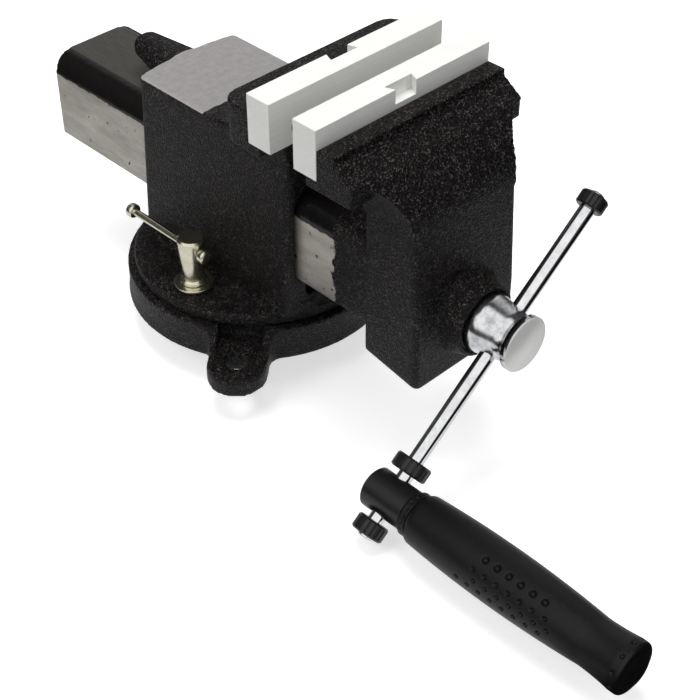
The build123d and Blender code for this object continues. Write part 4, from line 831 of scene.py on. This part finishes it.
near = add_node(tree, "GeometryNodeProximity", {"target_element": "POINTS"}, n0=dots.outputs[0],
                Source_Position=unrolled.outputs[0])
inner_edge = add_node(tree, "ShaderNodeMath", {"operation": "MULTIPLY"}, n0=dot_radius, n1=0.35)
bowl = add_node(tree, "ShaderNodeMapRange", {"interpolation_type": "SMOOTHSTEP"}, Value=near.outputs["Distance"],
                n1=inner_edge.outputs[0], n2=dot_radius, n3=1.0, n4=0.0)
inner_limit = add_node(tree, "ShaderNodeMath", {"operation": "MULTIPLY"}, n0=skin_radius, n1=0.75)
on_skin = add_node(tree, "ShaderNodeMath", {"operation": "GREATER_THAN"}, n0=radius, n1=inner_limit.outputs[0])
amount = bowl
for factor in (on_skin.outputs[0], dot_depth):
    amount = add_node(tree, "ShaderNodeMath", {"operation": "MULTIPLY"}, n0=amount.outputs[0], n1=factor)
close_tree(tree, cut_inwards(tree, inputs.outputs[0], outwards, amount.outputs[0]), nylon)
dimple_row = tree

grip_x = -82.191
grip_z = 4.932
# Local Z of the grip's pieces is -Y of the vise: heights are measured from
# the hub towards the free end.
grip_place = Matrix.Translation((grip_x * MM, 0, grip_z * MM)) @ Matrix.Rotation(radians(90), 4, "X")
axle_bore = 4.08
fine_step = 0.45
collar_start, collar_end, collar_radius, collar_edge = 207.88, 212.58, 12.6, 0.5
sleeve_start, sleeve_end = 212.88, 340.88
sleeve_start_radius, sleeve_swell_radius, sleeve_waist_radius, sleeve_end_radius = 14.2, 15.9, 13.3, 14.2
sleeve_waist_at = sleeve_end - 16.0
sleeve_flare_middle = 13.525
sleeve_shoulder = 2.0
sleeve_bore_radius, sleeve_bore_depth = 9.0, 16.0
sleeve_sides = 256
dimples_from, dimples_to = 247.0, 311.0


def arc_radius(first, middle_point, last, height):
    """The radius at a height on the arc through three (radius, height) points."""
    (r1, h1), (r2, h2), (r3, h3) = first, middle_point, last
    a = Matrix(((r2 - r1, h2 - h1), (r3 - r1, h3 - h1)))
    b = Vector(((r2 * r2 - r1 * r1 + h2 * h2 - h1 * h1) / 2, (r3 * r3 - r1 * r1 + h3 * h3 - h1 * h1) / 2))
    centre = a.inverted() @ b
    reach = ((r1 - centre.x) ** 2 + (h1 - centre.y) ** 2 - (height - centre.y) ** 2) ** 0.5
    return centre.x + reach if r2 > centre.x else centre.x - reach


def heights(first, last, step):
    """Evenly spaced heights from first to last."""
    parts = max(1, round((last - first) / step))
    return [first + (last - first) * k / parts for k in range(parts + 1)]


swell = (
    (sleeve_start_radius, sleeve_start + sleeve_shoulder),
    (sleeve_swell_radius, (sleeve_start + sleeve_waist_at) / 2),
    (sleeve_waist_radius, sleeve_waist_at),
)
flare = (
    (sleeve_waist_radius, sleeve_waist_at),
    (sleeve_flare_middle, (sleeve_waist_at + sleeve_end) / 2),
    (sleeve_end_radius, sleeve_end),
)
sleeve_outline = [
    (axle_bore, sleeve_start), (12.2, sleeve_start), (13.1, sleeve_start + 0.35), (13.8, sleeve_start + 1.0),
]
for first, last, step in (
    (sleeve_start + sleeve_shoulder, dimples_from, 3.0),
    (dimples_from + fine_step, dimples_to, fine_step),
    (dimples_to + fine_step, sleeve_waist_at, 2.0),
):
    sleeve_outline += [(arc_radius(*swell, h), h) for h in heights(first, last, step)]
sleeve_outline += [(arc_radius(*flare, h), h) for h in heights(sleeve_waist_at + 2.0, sleeve_end, 2.0)]
sleeve_outline += [
    (sleeve_bore_radius, sleeve_end),
    (sleeve_bore_radius, sleeve_end - sleeve_bore_depth),
    (axle_bore, sleeve_end - sleeve_bore_depth),
]
sleeve_mesh = turned("grip_sleeve", sleeve_outline, sleeve_sides)

# Rows of dimples as (angle from +X towards +Z, first and last place, count,
# radius, depth). The same patch lies on the opposite side.
dimpled_skin_radius = 15.7
dimple_rows = [
    (119.3, 262.9, 299.8, 6, 2.3, 1.7),
    (145.3, 259.6, 303.8, 7, 1.6, 1.2),
    (164.0, 262.3, 307.1, 7, 1.6, 1.2),
    (180.5, 251.7, 303.0, 8, 1.6, 1.2),
]
for turned_by in (0, 180):
    for angle_degrees, first_at, last_at, dot_count, dot_size, dot_sink in dimple_rows:
        sleeve_mesh = worked(sleeve_mesh, dimple_row, {
            "Count": dot_count, "Middle Angle": radians(angle_degrees + turned_by),
            "Middle Height": (first_at + last_at) / 2 * MM, "Angle Step": 0.0,
            "Height Step": (last_at - first_at) / (dot_count - 1) * MM, "Dot Radius": dot_size * MM,
            "Dot Depth": dot_sink * MM, "Skin Radius": dimpled_skin_radius * MM,
        })
sleeve_mesh.transform(grip_place)
placed("grip_sleeve_dimpled", sleeve_mesh, "grip", ["grip_sleeve"])

# Collar: moulded nylon too, fixed to the hub, with a ring of small dots.
dotted_sides = 240
collar_outline = [(axle_bore, collar_start), (collar_radius - collar_edge, collar_start)]
collar_outline += [(collar_radius, h) for h in heights(collar_start + collar_edge, collar_end - collar_edge, 0.3)]
collar_outline += [(collar_radius - collar_edge, collar_end), (axle_bore, collar_end)]
collar_mesh = worked(turned("grip_collar", collar_outline, dotted_sides), dimple_row, {
    "Count": 21, "Middle Angle": 0.0, "Middle Height": (collar_start + collar_end) / 2 * MM,
    "Angle Step": radians(18), "Height Step": 0.0, "Dot Radius": 0.95 * MM, "Dot Depth": 0.7 * MM,
    "Skin Radius": collar_radius * MM,
})
collar_mesh.transform(grip_place)
placed("grip_collar_dotted", collar_mesh, "rod", ["grip_collar"])

# End cap: the same nylon, pressed into the sleeve, with a low domed end.
cap_edge = 2.2
cap_radius = 14.5
cap_rim = 348.88
cap_dome = 3.2
cap_plug_radius, cap_plug_depth = 8.95, 8.0
cap_dots_at = 344.9
dome_radius = ((cap_radius - cap_edge) ** 2 + cap_dome ** 2) / (2 * cap_dome)
cap_outline = [
    (0, sleeve_end - cap_plug_depth), (cap_plug_radius, sleeve_end - cap_plug_depth),
    (cap_plug_radius, sleeve_end), (sleeve_end_radius, sleeve_end),
]
cap_outline += [(cap_radius, h) for h in heights(sleeve_end + cap_edge, cap_rim - cap_edge, fine_step)]
cap_outline += [
    (cap_radius - cap_edge + cap_edge * cos(radians(step)), cap_rim - cap_edge + cap_edge * sin(radians(step)))
    for step in range(10, 91, 10)
]
dome_centre = cap_rim + cap_dome - dome_radius
cap_outline += [(r, dome_centre + (dome_radius ** 2 - r * r) ** 0.5) for r in (10.5, 8.5, 6.5, 4.5, 2.5, 1.0)]
cap_outline += [(0, cap_rim + cap_dome)]
cap_mesh = worked(turned("grip_end_cap", cap_outline, dotted_sides), dimple_row, {
    "Count": 11, "Middle Angle": radians(154), "Middle Height": cap_dots_at * MM,
    "Angle Step": radians(36), "Height Step": 0.0, "Dot Radius": 1.5 * MM, "Dot Depth": 1.0 * MM,
    "Skin Radius": cap_radius * MM,
})
cap_mesh.transform(grip_place)
placed("grip_end_cap_dotted", cap_mesh, "grip", ["grip_end_cap"])
